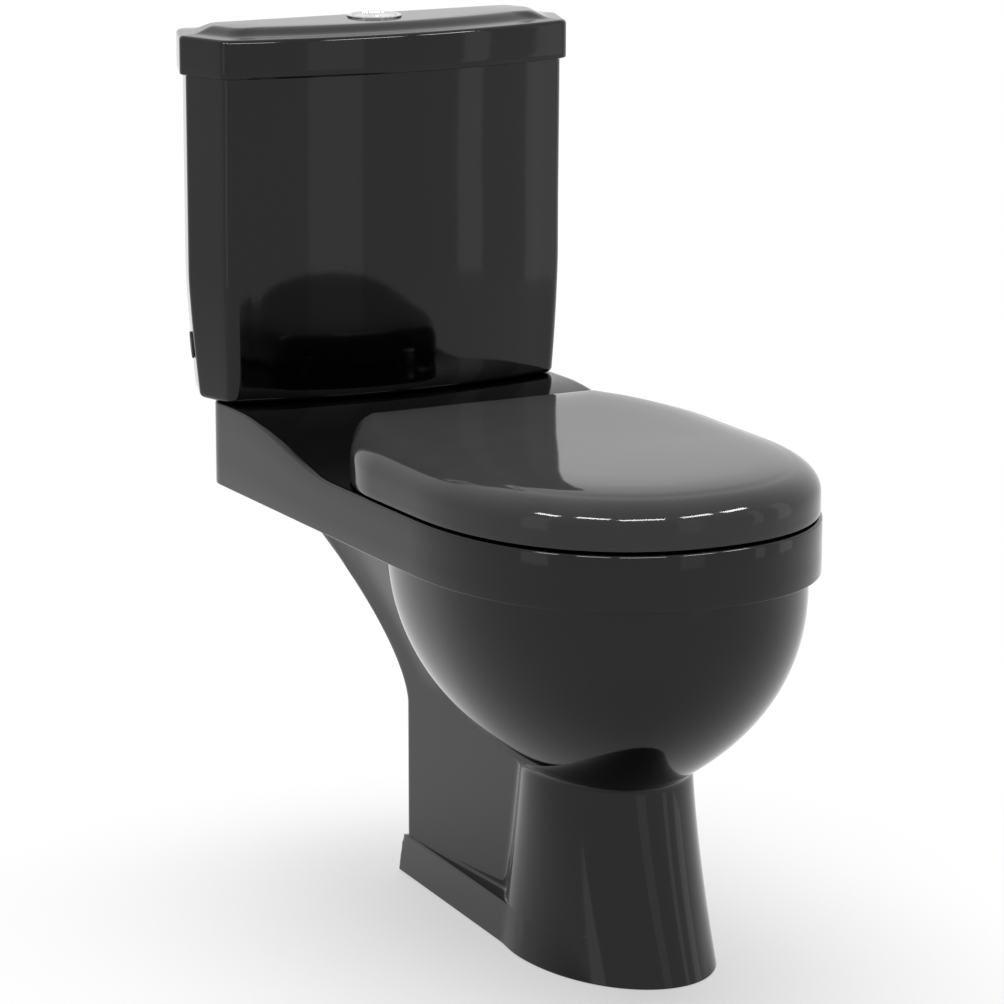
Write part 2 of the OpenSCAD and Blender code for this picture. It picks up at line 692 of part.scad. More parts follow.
module flush_valve_backnut() {
    color(white) at_flush() difference() {
        translate([0, 0, cistern_z - 12]) cylinder(r = well_r - 5, h = 12, $fn = 12);
        rod(tail_r + thread_gap, cistern_z - 13, cistern_z + 1);
    }
}

// ---- the coupling between the cistern and the pan ----
module coupling_gasket() {
    color(rubber) at_flush() difference() {
        rod(well_r - 0.5, well_z, cistern_z);
        rod(tail_r + 1, well_z - 1, cistern_z);
        rod(well_r - 4, cistern_z - 12.5, cistern_z + 1);
    }
}
module at_coupling() {
    pair(couple_x) translate([0, flush_y, 0]) children();
}
module coupling_bolts() {
    color(brass) at_coupling() {
        translate([0, 0, cistern_floor + 3]) cylinder(r = bolt_r * 1.9, h = 5, $fn = 6);
        rod(bolt_r, shelf_z - china_t - 24, cistern_floor + 4);
    }
}
module coupling_head_washers() {
    color(rubber) at_coupling() tube(12, bolt_r + thread_gap, cistern_floor, cistern_floor + 3);
}
module coupling_washers() {
    color(rubber) at_coupling()
        tube(12, bolt_r + thread_gap, shelf_z - china_t - 3, shelf_z - china_t);
}
module coupling_wing_nuts() {
    color(brass) at_coupling() wing_nut(shelf_z - china_t - 14, shelf_z - china_t - 3);
}

// ---- the fill valve and the plugged second inlet ----
module at_fill() {
    translate([fill_at[0], fill_at[1], 0]) children();
}
module fill_valve_body() {
    color(white) {
        at_inlet(1) {
            // the shank is relieved up to its tail, which the supply's nut goes on
            rod(inlet_d / 2 - 0.2, -fill_reach, nut_h + 2);
            rod(inlet_d / 2, nut_h + 1, tail_l);
            rod(washer_r, -cistern_t - face_gap - washer_t - 4, -cistern_t - face_gap - washer_t);
        }
        at_fill() {
            translate([0, 0, inlet_z]) sphere(r = 15);
            rod(riser_r, inlet_z, fill_top);
            rod(15, float_z - 5, float_z - rest_gap);
            rod(15, fill_top - cap_h, fill_top);
        }
    }
}
module fill_valve_float() {
    color("#3f6fb0") at_fill() tube(24, riser_r + run_fit, float_z, float_z + float_h);
}
module fill_valve_washer() {
    color(rubber) at_inlet(1)
        tube(washer_r, inlet_d / 2 + thread_gap, -cistern_t - face_gap - washer_t, -cistern_t - face_gap);
}
module inlet_nut(side, z0) {
    at_inlet(side) difference() {
        translate([0, 0, z0]) cylinder(r = 15.5, h = nut_h, $fn = 6);
        rod(inlet_d / 2 + thread_gap, z0 - 1, z0 + nut_h + 1);
    }
}
module fill_valve_backnut() {
    color(white) inlet_nut(1, face_gap);
}
module inlet_plug() {
    color(rubber) at_inlet(-1) {
        rod(inlet_d / 2, -cistern_t - 14, 1);
        rod(inlet_d / 2 + 2, face_gap, 2);
    }
}
module inlet_plug_nut() {
    color(white) inlet_nut(-1, -cistern_t - nut_h - face_gap);
}

pan();
cistern();
cistern_lid();
seat_ring();
seat_lid();
hinge_post(-1);  // hinge_post_left
hinge_post(1);  // hinge_post_right
hinge_pin(-1);  // hinge_pin_left
hinge_pin(1);  // hinge_pin_right
seat_bolts();
seat_cone_washers();
seat_wing_nuts();
ring_buffers();
lid_buffers();
button_bezel();
button_nut();
half_flush_button();
full_flush_button();
flush_valve_body();
flush_valve_lift();
flush_valve_seal();
flush_valve_backnut();
coupling_gasket();
coupling_bolts();
coupling_head_washers();
coupling_washers();
coupling_wing_nuts();
fill_valve_body();
fill_valve_float();
fill_valve_washer();
fill_valve_backnut();
inlet_plug();
inlet_plug_nut();
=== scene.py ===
"""The looks of a close coupled toilet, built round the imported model.

Sizes are in millimetres, and those of the room in metres. X is across, Y runs from the front (-Y) to the
wall (+Y), and Z is up from the floor.
"""
import json
import math

import bmesh
import bpy
import numpy as np
from mathutils import Matrix, Vector


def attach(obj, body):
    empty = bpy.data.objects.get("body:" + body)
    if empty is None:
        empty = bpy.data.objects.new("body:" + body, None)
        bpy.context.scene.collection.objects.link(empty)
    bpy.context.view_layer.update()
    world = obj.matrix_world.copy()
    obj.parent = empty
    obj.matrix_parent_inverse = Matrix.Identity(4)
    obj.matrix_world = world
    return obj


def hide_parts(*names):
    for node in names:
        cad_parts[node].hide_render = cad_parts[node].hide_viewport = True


MM = 0.001

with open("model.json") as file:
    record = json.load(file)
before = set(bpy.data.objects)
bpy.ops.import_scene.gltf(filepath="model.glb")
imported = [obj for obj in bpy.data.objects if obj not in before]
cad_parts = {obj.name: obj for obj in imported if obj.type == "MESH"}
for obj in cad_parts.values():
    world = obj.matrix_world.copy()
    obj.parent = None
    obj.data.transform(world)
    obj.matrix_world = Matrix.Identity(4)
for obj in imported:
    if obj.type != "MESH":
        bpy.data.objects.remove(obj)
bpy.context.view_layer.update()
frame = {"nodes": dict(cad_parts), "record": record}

# ---- sizes, as in the part's source ----
# the pan from above
RIM_Z = 400  # top of the rim
RIM_HALF = 177.5  # half the width over the rim
RIM_FRONT = 355  # from the middle of the whole object to the front of the rim
NOSE_LEN = 224  # length of the curved front
NOSE_POWER = 2.23  # its fullness: 2 is an ellipse
NOSE_Y = NOSE_LEN - RIM_FRONT  # where it begins
FLUSH_Y = 294  # middle of the flush valve and of the two bolts beside it
BAND_Z = RIM_Z - 49.5  # lower edge of the straight band round the rim
BAND_EDGE = 1.5  # rounding of that edge
SHELF_Z = RIM_Z + 28.5  # top of the shelf that carries the cistern
SHELF_HALF = 172.5  # half the shelf's width at its side corners
CORNER_Y = FLUSH_Y - 9  # the side corners
PAN_REAR = FLUSH_Y + 51  # back of the pan
REAR_HALF = 132  # half the width of the back
PLAN_JOIN = 5  # blend at the corners
RAMP_FRONT = 30  # the deck rises from here
RAMP_REAR = FLUSH_Y - 60  # to here
EDGE_R = 3  # rounding of the deck's outer edge
CHINA_T = 15  # thickness of the deck and of the skirt round it

# the outside of the bowl
BOWL_Y = 210 - RIM_FRONT  # middle of the bowl at its top
BOWL_HALF = 166  # half its width
BOWL_FRONT = 207  # its reach to the front
BOWL_REAR = 250  # and to the rear
BOWL_POWER = 2.05  # fullness of its outline
BOWL_DROP = 217  # its depth below the band
BOWL_SHIFT = 12  # how far its lowest point lies ahead of its middle
FALL_IN = 2.32  # how late its sides turn in
FALL_OUT = 0.794  # how blunt its bottom is
BOWL_JOIN = 7  # blend of the bowl with what is under it

# the mouth, the lip inside it and the inside of the bowl
MOUTH_Y = 205 - RIM_FRONT
MOUTH_HALF = 114
MOUTH_LONG = 151.5
MOUTH_POWER = 2.15
MOUTH_EDGE = 5  # rounding of the mouth's edge
LIP_T = 9  # thickness of the lip
LIP_RISE = 4  # how far the lip ends above the band's lower edge
BOWL_T = 14  # wall of the bowl
CAVITY_HALF = BOWL_HALF - BOWL_T
CAVITY_FRONT = BOWL_FRONT - BOWL_T - 2
CAVITY_REAR = 168
CAVITY_BACK = 60  # how much less the inside reaches to the rear at its bottom
CAVITY_DROP = BOWL_DROP - 17.5  # its depth below the lip
CAVITY_FLOOR = BAND_Z + LIP_RISE - CAVITY_DROP

# the column under the bowl, which flares toward the floor
COLUMN_Y = 202 - RIM_FRONT
COLUMN_TOP = RIM_Z - 210  # the flare ends here
COLUMN_HALF = 74  # half its width above the flare
HALF_FLARE = 9  # what the flare adds to that at the floor
COLUMN_FRONT = 79  # its reach to the front, in the same way
FRONT_FLARE = 54
COLUMN_REAR = 66  # and to the rear
REAR_FLARE = 48
FLARE_POWER = 1.5
COLUMN_JOIN = 5  # blend of the column with the flank
COLUMN_HOLLOW_TOP = 90

# the flank behind it
FLANK_HALF = 57.5
FLANK_R = 8  # rounding of its rear edges
FLANK_REAR = 122  # its rear, up to where it sweeps back
SWEEP_Z = RIM_Z - 235  # it sweeps back above here, by a rate times the height to a power
SWEEP_RATE = 0.0559
SWEEP_POWER = 1.68
SWEEP_END = PAN_REAR - 3
FAN_Z = RIM_Z - 213  # it widens toward the rim from here
FAN_W = 24  # by this much on each side
FAN_EASE = 0.03
FAN_FRONT = 50  # the widening fades out behind here
FAN_REAR = 40  # up to this far from its rear
FAN_FADE = 30  # over this length at least

# the foot
FOOT_HALF = 81
FOOT_NOSE = 60  # length of its curved front
FOOT_REAR = 135
FOOT_REAR_HALF = 55
FOOT_SIDE_Y = 126  # where its tapering sides end
FOOT_SIDE_HALF = 59  # and half its width there
FOOT_DRAFT = 9  # how much its rear leans in over the ledge's height
FOOT_T = 13
FLOOR_EDGE = 0.8
LEDGE_H = 38
LEDGE_R = 2  # rounding of the ledge's edge
LEDGE_FILLET = 2.5  # fillet between the ledge and what stands on it
FOOT_JOIN = 2.5  # blend of the foot with the column

# the trapway, on the plane x = 0, and the outlet
WATER_DEPTH = 65
TRAP_R = 30
CREST_R = 40
CREST_Y = 30
CREST_Z = CAVITY_FLOOR + WATER_DEPTH + TRAP_R - CREST_R
DIP_R = 42
DIP_Z = CAVITY_FLOOR - 10
OUTLET_Y = CREST_Y + CREST_R
OUTLET_R = 40
OUTLET_LEN = 60

# the way in for the flush, and the bolts beside it
FLUSH_R = 25
FLUSH_DROP = 40  # how far the way to the bowl runs under the well
TAIL_R = FLUSH_R + 5  # outside of the flush valve's tail
WELL_R = 47  # the well in the shelf for the flush valve's nut
WELL_Z = SHELF_Z - 28
COUPLE_X = 82
COUPLE_HOLE_R = 6

# the cistern from above, at its lid, with its front, widest and back corners
FRONT_MID = FLUSH_Y - 77  # the middle of the bowed front
FRONT_BOW = 26  # how much further back its ends are
WIDE_HALF = 196
WIDE_Y = FLUSH_Y + 5
WIDE_R = 8
FRONT_HALF = WIDE_HALF - 19.5
FRONT_R = 14
BACK_HALF = WIDE_HALF - 21.5
BACK_Y = FLUSH_Y + 61
BACK_R = 10

# the cistern's walls
LID_Z = 731.5  # the lid's lower edge
CISTERN_Z = SHELF_Z + 0.8
CISTERN_TOP = LID_Z + 20
CISTERN_T = 8
CISTERN_FLOOR = CISTERN_Z + CISTERN_T + 2
BODY_INSET = 5.5  # how far the cistern stands in from the lid
BRIM_EDGE = 1.5
BOTTOM_R = 5
TAPER_Z = LID_Z - 186.5  # the sides narrow below here
SIDE_TAPER = 9
TAPER_POWER = 1.3
FRONT_SHARE = 0.4  # shares of that narrowing at the front and the widest corner
WIDE_SHARE = 1.15
FRONT_LEAN = 7
INLET_Z = SHELF_Z + 46.5
INLET_LOW = INLET_Z - 20  # the flat round the inlet leans as the side does between these heights
INLET_HIGH = INLET_Z + 25
INLET_IN = 28  # from the widest corner
INLET_R = 11.48

# the cistern lid
LID_SKIRT = 36
LID_EDGE = 4
LID_GAP = 1
CROWN_H = 7.5
CROWN_LIP = 0.6  # the part of that rise that comes at the lid's edge
SLOPE_START = 12.5  # the rest comes between these two insets
SLOPE_END = 34
CROWN_Z = LID_Z + LID_SKIRT + CROWN_H
LID_UNDER = CROWN_Z - 9
LID_HOLE_GAP = 0.6

# the buttons
BEZEL_R = 25.2
BUTTON_R = BEZEL_R - 5
BARREL_OUT = BUTTON_R + 2.2
BARREL_PITCH = 2  # of the thread on the barrel under the bezel
BARREL_THREAD = 0.35  # and its depth
SPLIT_X = -4  # the line between the half flush button and the full one
ROD_X = 14
ROD_R = 2.5
ROD_FOOT = LID_Z - 101.5

# the seat lid, closed
SEAT_HALF = RIM_HALF - 1
SEAT_NOSE = NOSE_LEN - 2
SEAT_REAR = 82
SEAT_STRAIGHT_Y = -50  # the sides narrow behind here
SEAT_NARROW = 27
SEAT_CORNER = 37
SEAT_CORNER_R = 34
SEAT_FOLD = 32  # an outline set in further than this only shrinks
SEAT_Z = RIM_Z + 2.5  # its lower edge
SEAT_TOP = 49  # above the rim
SEAT_RISE = 4.2  # how much higher it stands at the rear
SEAT_SHOULDER = 40  # that rise grows over this height
SEAT_T = 4
NOTCH_HALF = 13.5  # half the width of the notch in the lid round each hinge post
LID_BUFFERS = ((133, -112), (60, -296))  # places of the right buffers, which have a boss over them

# the seat ring
RING_Z = RIM_Z + 4
RING_T = 24
RING_INSET = 8
RING_REAR = 42
RING_MOUTH_HALF = 111
RING_MOUTH_LONG = MOUTH_LONG - 3

# the hinges and the bolts
HINGE_X = 77.5
HINGE_Y = SEAT_REAR - 12
HINGE_Z = RIM_Z + 21
HOLE_Y = HINGE_Y - 10
HINGE_HOLE_R = 7.5
HINGE_FLAT_R = 17.5  # the flat on the deck under each hinge post
POCKET_Z = RIM_Z - 18
BARREL_R = 7
BARREL_L = 24
EAR_L = 12
PIN_R = 4
POST_R = 15
POST_H = 5
BOLT_R = 4
BOLT_PITCH = 1.25
BOLT_THREAD = 0.45  # depth of the thread
THREAD_GAP = 0.2
RUN_FIT = 0.05  # radial clearance of what turns
REST_GAP = 0.3  # gap beside a moving piece

# bends of a quarter turn, as the angles of the rings that make them
QUARTER_TURN = np.radians((22, 45, 68, 90))
SMOOTH_TO = 34  # degrees: sharper edges of the china, seat and metal stay crisp


# ---- materials ----
def hex_colour(text):
    """An sRGB hex colour as linear RGBA."""
    parts = [int(text[i:i + 2], 16) / 255 for i in (1, 3, 5)]
    return tuple(c / 12.92 if c <= 0.04045 else ((c + 0.055) / 1.055) ** 2.4 for c in parts) + (1,)


def node(tree, kind, inputs=None, stops=(), **settings):
    """Adds a node: inputs are values, or sockets to link from, and stops are the ends of a colour ramp."""
    made = tree.nodes.new(kind)
    for key, value in settings.items():
        setattr(made, key, value)
    for key, value in (inputs or {}).items():
        if isinstance(value, bpy.types.NodeSocket):
            tree.links.new(value, made.inputs[key])
        else:
            made.inputs[key].default_value = value
    for i, (place, colour) in enumerate(stops):
        made.color_ramp.elements[i].position = place
        made.color_ramp.elements[i].color = colour
    return made


def new_material(name):
    made = bpy.data.materials.new(name)
    made.use_nodes = True
    made.node_tree.nodes.clear()
    return made, made.node_tree


def grey(value):
    """A colour with no hue, of this linear value."""
    return (value, value, value, 1)


def finish_material(name, base, mottle, rough, bump_mm, grain_mm, *, mottle_mm=40, metallic=0.0, ior=1.5,
                    sheen=0.0, stretch=(1, 1, 1), wave_mm=0, wave_depth=0):
    """A surface with a fine grain of bump and roughness, a slow drift of colour, and a slow waviness.

    Sizes ending in _mm are the width of one feature, or the depth of the grain.
    """
    made, tree = new_material(name)
    where = node(tree, "ShaderNodeTexCoord").outputs["Object"]
    spread = node(tree, "ShaderNodeMapping", {"Vector": where, "Scale": stretch}).outputs["Vector"]
    grain = node(tree, "ShaderNodeTexNoise", {
        "Vector": spread, "Scale": 1000 / grain_mm, "Detail": 3.0, "Roughness": 0.55}).outputs["Fac"]
    drift = node(tree, "ShaderNodeTexNoise", {
        "Vector": where, "Scale": 1000 / mottle_mm, "Detail": 2.0}).outputs["Fac"]
    colour = node(tree, "ShaderNodeValToRGB", {"Fac": drift},
                  [(0.35, hex_colour(base)), (0.65, hex_colour(mottle))])
    shine = node(tree, "ShaderNodeValToRGB", {"Fac": grain}, [(0.3, grey(rough[0])), (0.7, grey(rough[1]))])
    bump = node(tree, "ShaderNodeBump", {"Height": grain, "Distance": bump_mm * MM, "Strength": 1.0})
    if wave_depth:
        slow = node(tree, "ShaderNodeTexNoise", {"Vector": where, "Scale": 1000 / wave_mm, "Detail": 1.0})
        bump = node(tree, "ShaderNodeBump", {
            "Height": slow.outputs["Fac"], "Distance": wave_depth * MM, "Strength": 1.0,
            "Normal": bump.outputs["Normal"]})
    shader = node(tree, "ShaderNodeBsdfPrincipled", {
        "Base Color": colour.outputs["Color"], "Roughness": shine.outputs["Color"],
        "Normal": bump.outputs["Normal"], "Metallic": metallic, "IOR": ior, "Sheen Weight": sheen})
    node(tree, "ShaderNodeOutputMaterial", {"Surface": shader.outputs["BSDF"]})
    return made


# Fired vitreous china under a black glaze: a deep black with a wet mirror gloss, slightly wavy over
# 60 mm, with a fine orange peel.
GLAZE = finish_material("black_glazed_china", "#070707", "#0a0a0b", (0.05, 0.08), 0.004, 3.0, mottle_mm=70,
                        ior=1.38, wave_mm=60, wave_depth=0.05)
# Moulded thermoset seat: hard, polished and black, a little greyer and softer in its gloss than the china.
SEAT = finish_material("polished_black_thermoset", "#414141", "#444444", (0.04, 0.08), 0.003, 1.5,
                       mottle_mm=50, ior=1.34, wave_mm=80, wave_depth=0.03)
# Bright chrome plate on brass: a clear mirror, with a faint polishing haze.
CHROME = finish_material("bright_chrome_plate", "#d9dadc", "#cfd1d3", (0.04, 0.10), 0.002, 0.8,
                         metallic=1.0)
# Turned stainless steel: fine rings of the tool along the pin.
STEEL = finish_material("turned_stainless_steel", "#b9b8b4", "#adaca8", (0.18, 0.32), 0.006, 0.4,
                        metallic=1.0, stretch=(6, 1, 1))
# Bare machined brass: warm yellow with a brown bloom where it has been handled.
BRASS = finish_material("machined_brass", "#c9a55a", "#a9853f", (0.2, 0.38), 0.008, 0.6, mottle_mm=12,
                        metallic=1.0)
# Moulded EPDM rubber: matt charcoal with a fine dusty bloom.
RUBBER = finish_material("moulded_epdm_rubber", "#1b1b1c", "#262627", (0.6, 0.8), 0.02, 0.5, mottle_mm=14,
                         sheen=0.1)
# Soft vinyl pads under the seat: charcoal and satin, with a slight drift of tone.
PADS = finish_material("soft_vinyl_pads", "#2b2b2c", "#333334", (0.4, 0.55), 0.01, 0.7, mottle_mm=10)
# Injection moulded white polypropylene: satin, a little uneven, faintly yellow in places.
WHITE = finish_material("moulded_white_polypropylene", "#e3e2dd", "#d8d6ce", (0.34, 0.5), 0.01, 0.9,
                        mottle_mm=30)
# The same plastic coloured in the mass, red for the lift tube and blue for the float.
RED = finish_material("moulded_red_polypropylene", "#b5322f", "#a62b29", (0.32, 0.48), 0.01, 0.9,
                      mottle_mm=25)
BLUE = finish_material("moulded_blue_polypropylene", "#3a67a8", "#345d9a", (0.32, 0.48), 0.01, 0.9,
                       mottle_mm=25)


# ---- meshes ----
def plain_object(name, content):
    """Puts this mesh, lamp or camera into the scene."""
    made = bpy.data.objects.new(name, content)
    bpy.context.scene.collection.objects.link(made)
    return made


def tidy_mesh(made, material=None):
    """Merges doubles, turns the faces outward, shades smooth and gives the piece its finish."""
    work = bmesh.new()
    work.from_mesh(made.data)
    bmesh.ops.remove_doubles(work, verts=work.verts, dist=1e-6)
    bmesh.ops.dissolve_degenerate(work, edges=work.edges, dist=1e-6)
    bmesh.ops.recalc_face_normals(work, faces=work.faces)
    work.to_mesh(made.data)
    work.free()
    made.data.shade_smooth()
    made.data.set_sharp_from_angle(angle=math.radians(SMOOTH_TO))
    if material:
        made.data.materials.clear()
        made.data.materials.append(material)


def mesh_object(name, points, faces):
    """An object from points in millimetres."""
    mesh = bpy.data.meshes.new(name)
    mesh.from_pydata([tuple(p) for p in np.asarray(points, float) * MM], [], faces)
    made = plain_object(name, mesh)
    tidy_mesh(made)
    return made


def ring_faces(count, m, wrap):
    """Faces of a loft of rings of m points: closed in a loop, or each end closed on one added point."""
    steps = count if wrap else count - 1
    faces = []
    for k in range(steps):
        here, there = k * m, (k + 1) % count * m
        faces += [(here + i, here + (i + 1) % m, there + (i + 1) % m, there + i) for i in range(m)]
    if not wrap:
        low, high = count * m, count * m + 1
        faces += [((i + 1) % m, i, low) for i in range(m)]
        faces += [((count - 1) * m + i, (count - 1) * m + (i + 1) % m, high) for i in range(m)]
    return faces


def loft(name, rings, wrap=False):
    """A skin over rings in millimetres: closed in a loop, or with a lid over each end."""
    rings = np.asarray(rings, float)
    count, m = rings.shape[:2]
    points = rings.reshape(-1, 3)
    if not wrap:
        points = np.vstack([points, rings[0].mean(axis=0), rings[-1].mean(axis=0)])
    return mesh_object(name, points, ring_faces(count, m, wrap))


def both(half):
    """A whole ring from its right half, which runs from the middle of the front to that of the back."""
    half = np.asarray(half, float)
    return np.vstack([half, [(-p[0],) + tuple(p[1:]) for p in half[::-1] if p[0] > 1e-6]])


def level(half, z):
    """A whole ring at one height, from the right half of its plan."""
    return [(p[0], p[1], z) for p in both(half)]


def apply_modifier(made, kind, named=None, **settings):
    """Makes a modifier's result the mesh; named gives the inputs of its tree of nodes."""
    change = made.modifiers.new(kind, kind)
    for key, value in settings.items():
        setattr(change, key, value)
    if named:
        for item in change.node_group.interface.items_tree:
            if item.in_out == "INPUT" and item.name in named:
                change[item.identifier] = named[item.name]
    evaluated = made.evaluated_get(bpy.context.evaluated_depsgraph_get())
    result = bpy.data.meshes.new_from_object(evaluated)
    made.modifiers.clear()
    made.data = result
    return made


def combine(made, others, operation="DIFFERENCE"):
    """Cuts the other objects from made, or joins them to it, and removes them."""
    for other in others:
        apply_modifier(made, "BOOLEAN", operation=operation, object=other, solver="MANIFOLD")
        bpy.data.objects.remove(other, do_unlink=True)
    return made


def circle_angles(steps):
    return np.linspace(0, 2 * math.pi, steps, False)


def lathe(name, profile, at=(0, 0, 0), axis="Z", steps=64, wrap=False):
    """A solid of revolution; profile is (radius, height) pairs from one end to the other, or all round."""
    rings = [[(r * math.cos(t), r * math.sin(t), h) for t in circle_angles(steps)] for r, h in profile]
    made = loft(name, rings, wrap=wrap)
    turn = {"Z": Matrix.Identity(4), "X": Matrix.Rotation(math.pi / 2, 4, "Y"),
            "Y": Matrix.Rotation(-math.pi / 2, 4, "X")}[axis]
    made.data.transform(Matrix.Translation(Vector(at) * MM) @ turn)
    return made


def rod(at, radius, z0, z1, steps=64, axis="Z"):
    """A plain round bar between two places along its axis, to cut or join with."""
    return lathe("cutter", [(radius, z0), (radius, z1)], at, axis, steps)


def box(lo, hi):
    """A block between its lowest and its highest corner."""
    base = ((lo[0], lo[1]), (hi[0], lo[1]), (hi[0], hi[1]), (lo[0], hi[1]))
    points = [(x, y, z) for z in (lo[2], hi[2]) for x, y in base]
    sides = [(i, (i + 1) % 4, (i + 1) % 4 + 4, i + 4) for i in range(4)]
    return mesh_object("block", points, [(3, 2, 1, 0), (4, 5, 6, 7)] + sides)


def tube_along(path, radius, steps=48):
    """A closed round bar along a path in the plane x = 0, to cut with."""
    path = np.asarray(path, float)
    rings = []
    for i, p in enumerate(path):
        ahead = path[min(i + 1, len(path) - 1)] - path[max(i - 1, 0)]
        ahead /= np.linalg.norm(ahead)
        side, up = np.array([1.0, 0, 0]), np.cross([1.0, 0, 0], ahead)
        rings.append([p + radius * (math.cos(t) * side + math.sin(t) * up) for t in circle_angles(steps)])
    return loft("cutter", rings)


def smoothstep(t):
    """A soft step from 0 to 1."""
    c = np.clip(t, 0, 1)
    return c * c * (3 - 2 * c)


def smooth_join(a, b, k):
    """The lower of two distances, blended where they are within k of each other."""
    h = np.maximum(k - np.abs(a - b), 0) / k
    return np.minimum(a, b) - h * h * k / 4


def between(a, b, s, start, stop):
    """The value at s on the straight line that is a at the start and b at the stop."""
    return (stop - s) / (stop - start) * a + (s - start) / (stop - start) * b


def spline(knots, steps):
    """A smooth curve through the knots, with so many steps between each two."""
    knots = np.asarray(knots, float)
    ends = np.vstack([2 * knots[0] - knots[1], knots, 2 * knots[-1] - knots[-2]])
    out = []
    for i in range(1, len(ends) - 2):
        p = ends[i - 1:i + 3]
        t = np.concatenate([[0], np.cumsum(np.sqrt(np.linalg.norm(np.diff(p, axis=0), axis=1)))])
        for s in np.linspace(t[1], t[2], steps, False):
            a = [between(p[j], p[j + 1], s, t[j], t[j + 1]) for j in range(3)]
            b = [between(a[j], a[j + 1], s, t[j], t[j + 2]) for j in range(2)]
            out.append(between(b[0], b[1], s, t[1], t[2]))
    return np.array(out + [knots[-1]])


def unit(v):
    return v / np.linalg.norm(v)


def fillet(a, b, c, r, n):
    """The corner b between a and c, rounded in n steps."""
    u, v = unit(a - b), unit(c - b)
    h = math.acos(float(np.clip(u @ v, -1, 1))) / 2
    o = b + unit(u + v) * r / math.sin(h)
    s, e = b + u * r / math.tan(h) - o, b + v * r / math.tan(h) - o
    return [o + r * unit(s * (n - i) / n + e * i / n) for i in range(n + 1)]


def inward(a, b, c, d):
    """The corner b of a path that runs a, b, c, after the path is set in by d."""
    u, v = unit(a - b), unit(c - b)
    return b + unit(u + v) * d / math.sin(math.acos(float(u @ v)) / 2)


def quarter(half, reach_y, y, power, start, stop, n):
    """Part of an oval about (0, y), from these angles in degrees off the way to the front."""
    points = []
    for a in np.radians(np.linspace(start, stop, n + 1)):
        ahead = np.sign(math.pi / 2 - a) * reach_y * abs(np.cos(a)) ** (2 / power)
        points.append(np.array([half * np.sin(a) ** (2 / power), y - ahead]))
    return points


# ---- the pan ----
def deck_top(y):
    """The height of the deck, which ramps up behind the seat to the shelf."""
    return RIM_Z + (SHELF_Z - RIM_Z) * smoothstep((y - RAMP_FRONT) / (RAMP_REAR - RAMP_FRONT))


# the rays that find the pan's outline start on its middle line, between these two places
RAYS_FRONT = MOUTH_Y
RAYS_REAR = 90
RAY_STEP = 5
SHELF_CORNERS = (48.5, 62.63)  # the ways from the rear start to the shelf's corners, in degrees
CROWDED = 3.5  # degrees on each side of a corner where the rays stand closer


def spine_rays(corners):
    """Where each ray starts on the middle line and where it points, for the right half of the pan.

    The rays behind the last start crowd round the corners of the outline at that height, in degrees.
    """
    front = [(RAYS_FRONT, a) for a in np.linspace(-90, 0, 91)]
    side = [(y, 0) for y in np.arange(RAYS_FRONT + RAY_STEP, RAYS_REAR, RAY_STEP)]
    stops = [0.0]
    for c in corners:
        stops += [c - CROWDED, c + CROWDED]
    stops.append(90.0)
    # rays between the stops: 38 in either case, so that the rings can be joined
    counts = (13, 10, 15) if len(corners) == 1 else (11, 9, 3, 9, 6)
    turns = [np.linspace(lo, hi, n, False) for lo, hi, n in zip(stops[:-1], stops[1:], counts)]
    rays = np.array(front + side + [(RAYS_REAR, a) for a in np.concatenate(turns + [[90.0]])])
    starts = np.stack([0 * rays[:, 0], rays[:, 0]], axis=1)
    ways = np.stack([np.cos(np.radians(rays[:, 1])), np.sin(np.radians(rays[:, 1]))], axis=1)
    ways[0], ways[-1] = (0, -1), (0, 1)
    return starts, ways


def reach(rays, outside, farthest=480.0, halvings=44):
    """How far along each ray a shape goes, from a function that is positive outside it."""
    starts, ways = rays
    low, high = np.zeros(len(starts)), np.full(len(starts), farthest)
    for _ in range(halvings):
        mid = (low + high) / 2
        p = starts + ways * mid[:, None]
        out = outside(p[:, 0], p[:, 1]) > 0
        high, low = np.where(out, mid, high), np.where(out, low, mid)
    return (low + high) / 2


def oval_gap(x, y, w, front, rear, cy, power):
    """About how far outside an oval these points lie.

    It is w wide on each side of x = 0, and reaches this far to the front and to the rear of cy.
    """
    dy = y - cy
    rho = (np.abs(x / w) ** power + np.abs(dy / np.where(dy < 0, front, rear)) ** power) ** (1 / power)
    rho = np.maximum(rho, 1e-6)
    return np.hypot(x, dy) * (1 - 1 / rho)


def outline_gap(x, y, d):
    """How far outside the pan's outline, as seen from above and set in by d, these points lie."""
    x = np.abs(x)
    nose = oval_gap(x, np.minimum(y, NOSE_Y), RIM_HALF - d, NOSE_LEN - d, 1e3, NOSE_Y, NOSE_POWER)
    along = np.clip((y - NOSE_Y) / (CORNER_Y - NOSE_Y), 0, 1)
    side = x - (RIM_HALF - d - (RIM_HALF - SHELF_HALF) * along)
    a, b = np.array([SHELF_HALF - d, CORNER_Y]), np.array([REAR_HALF - d, PAN_REAR - d])
    n = unit(np.array([b[1] - a[1], a[0] - b[0]]))
    corner = (x - a[0]) * n[0] + (y - a[1]) * n[1]
    rear = y - (PAN_REAR - d)
    body = np.where(y < NOSE_Y, nose, side)
    return -smooth_join(-(-smooth_join(-body, -corner, PLAN_JOIN)), -rear, PLAN_JOIN)


def bowl_scale(s):
    """How wide the bowl is at this share of its depth."""
    return max(1 - s ** FALL_IN, 0) ** FALL_OUT


def flare(z):
    """How much of the column's flare is there at this height: all at the floor, none at its top."""
    return max(1 - z / COLUMN_TOP, 0) ** FLARE_POWER


def column_rear(z):
    """The column's reach to the rear, which grows evenly toward the floor."""
    return COLUMN_REAR + REAR_FLARE * max(1 - z / COLUMN_TOP, 0)


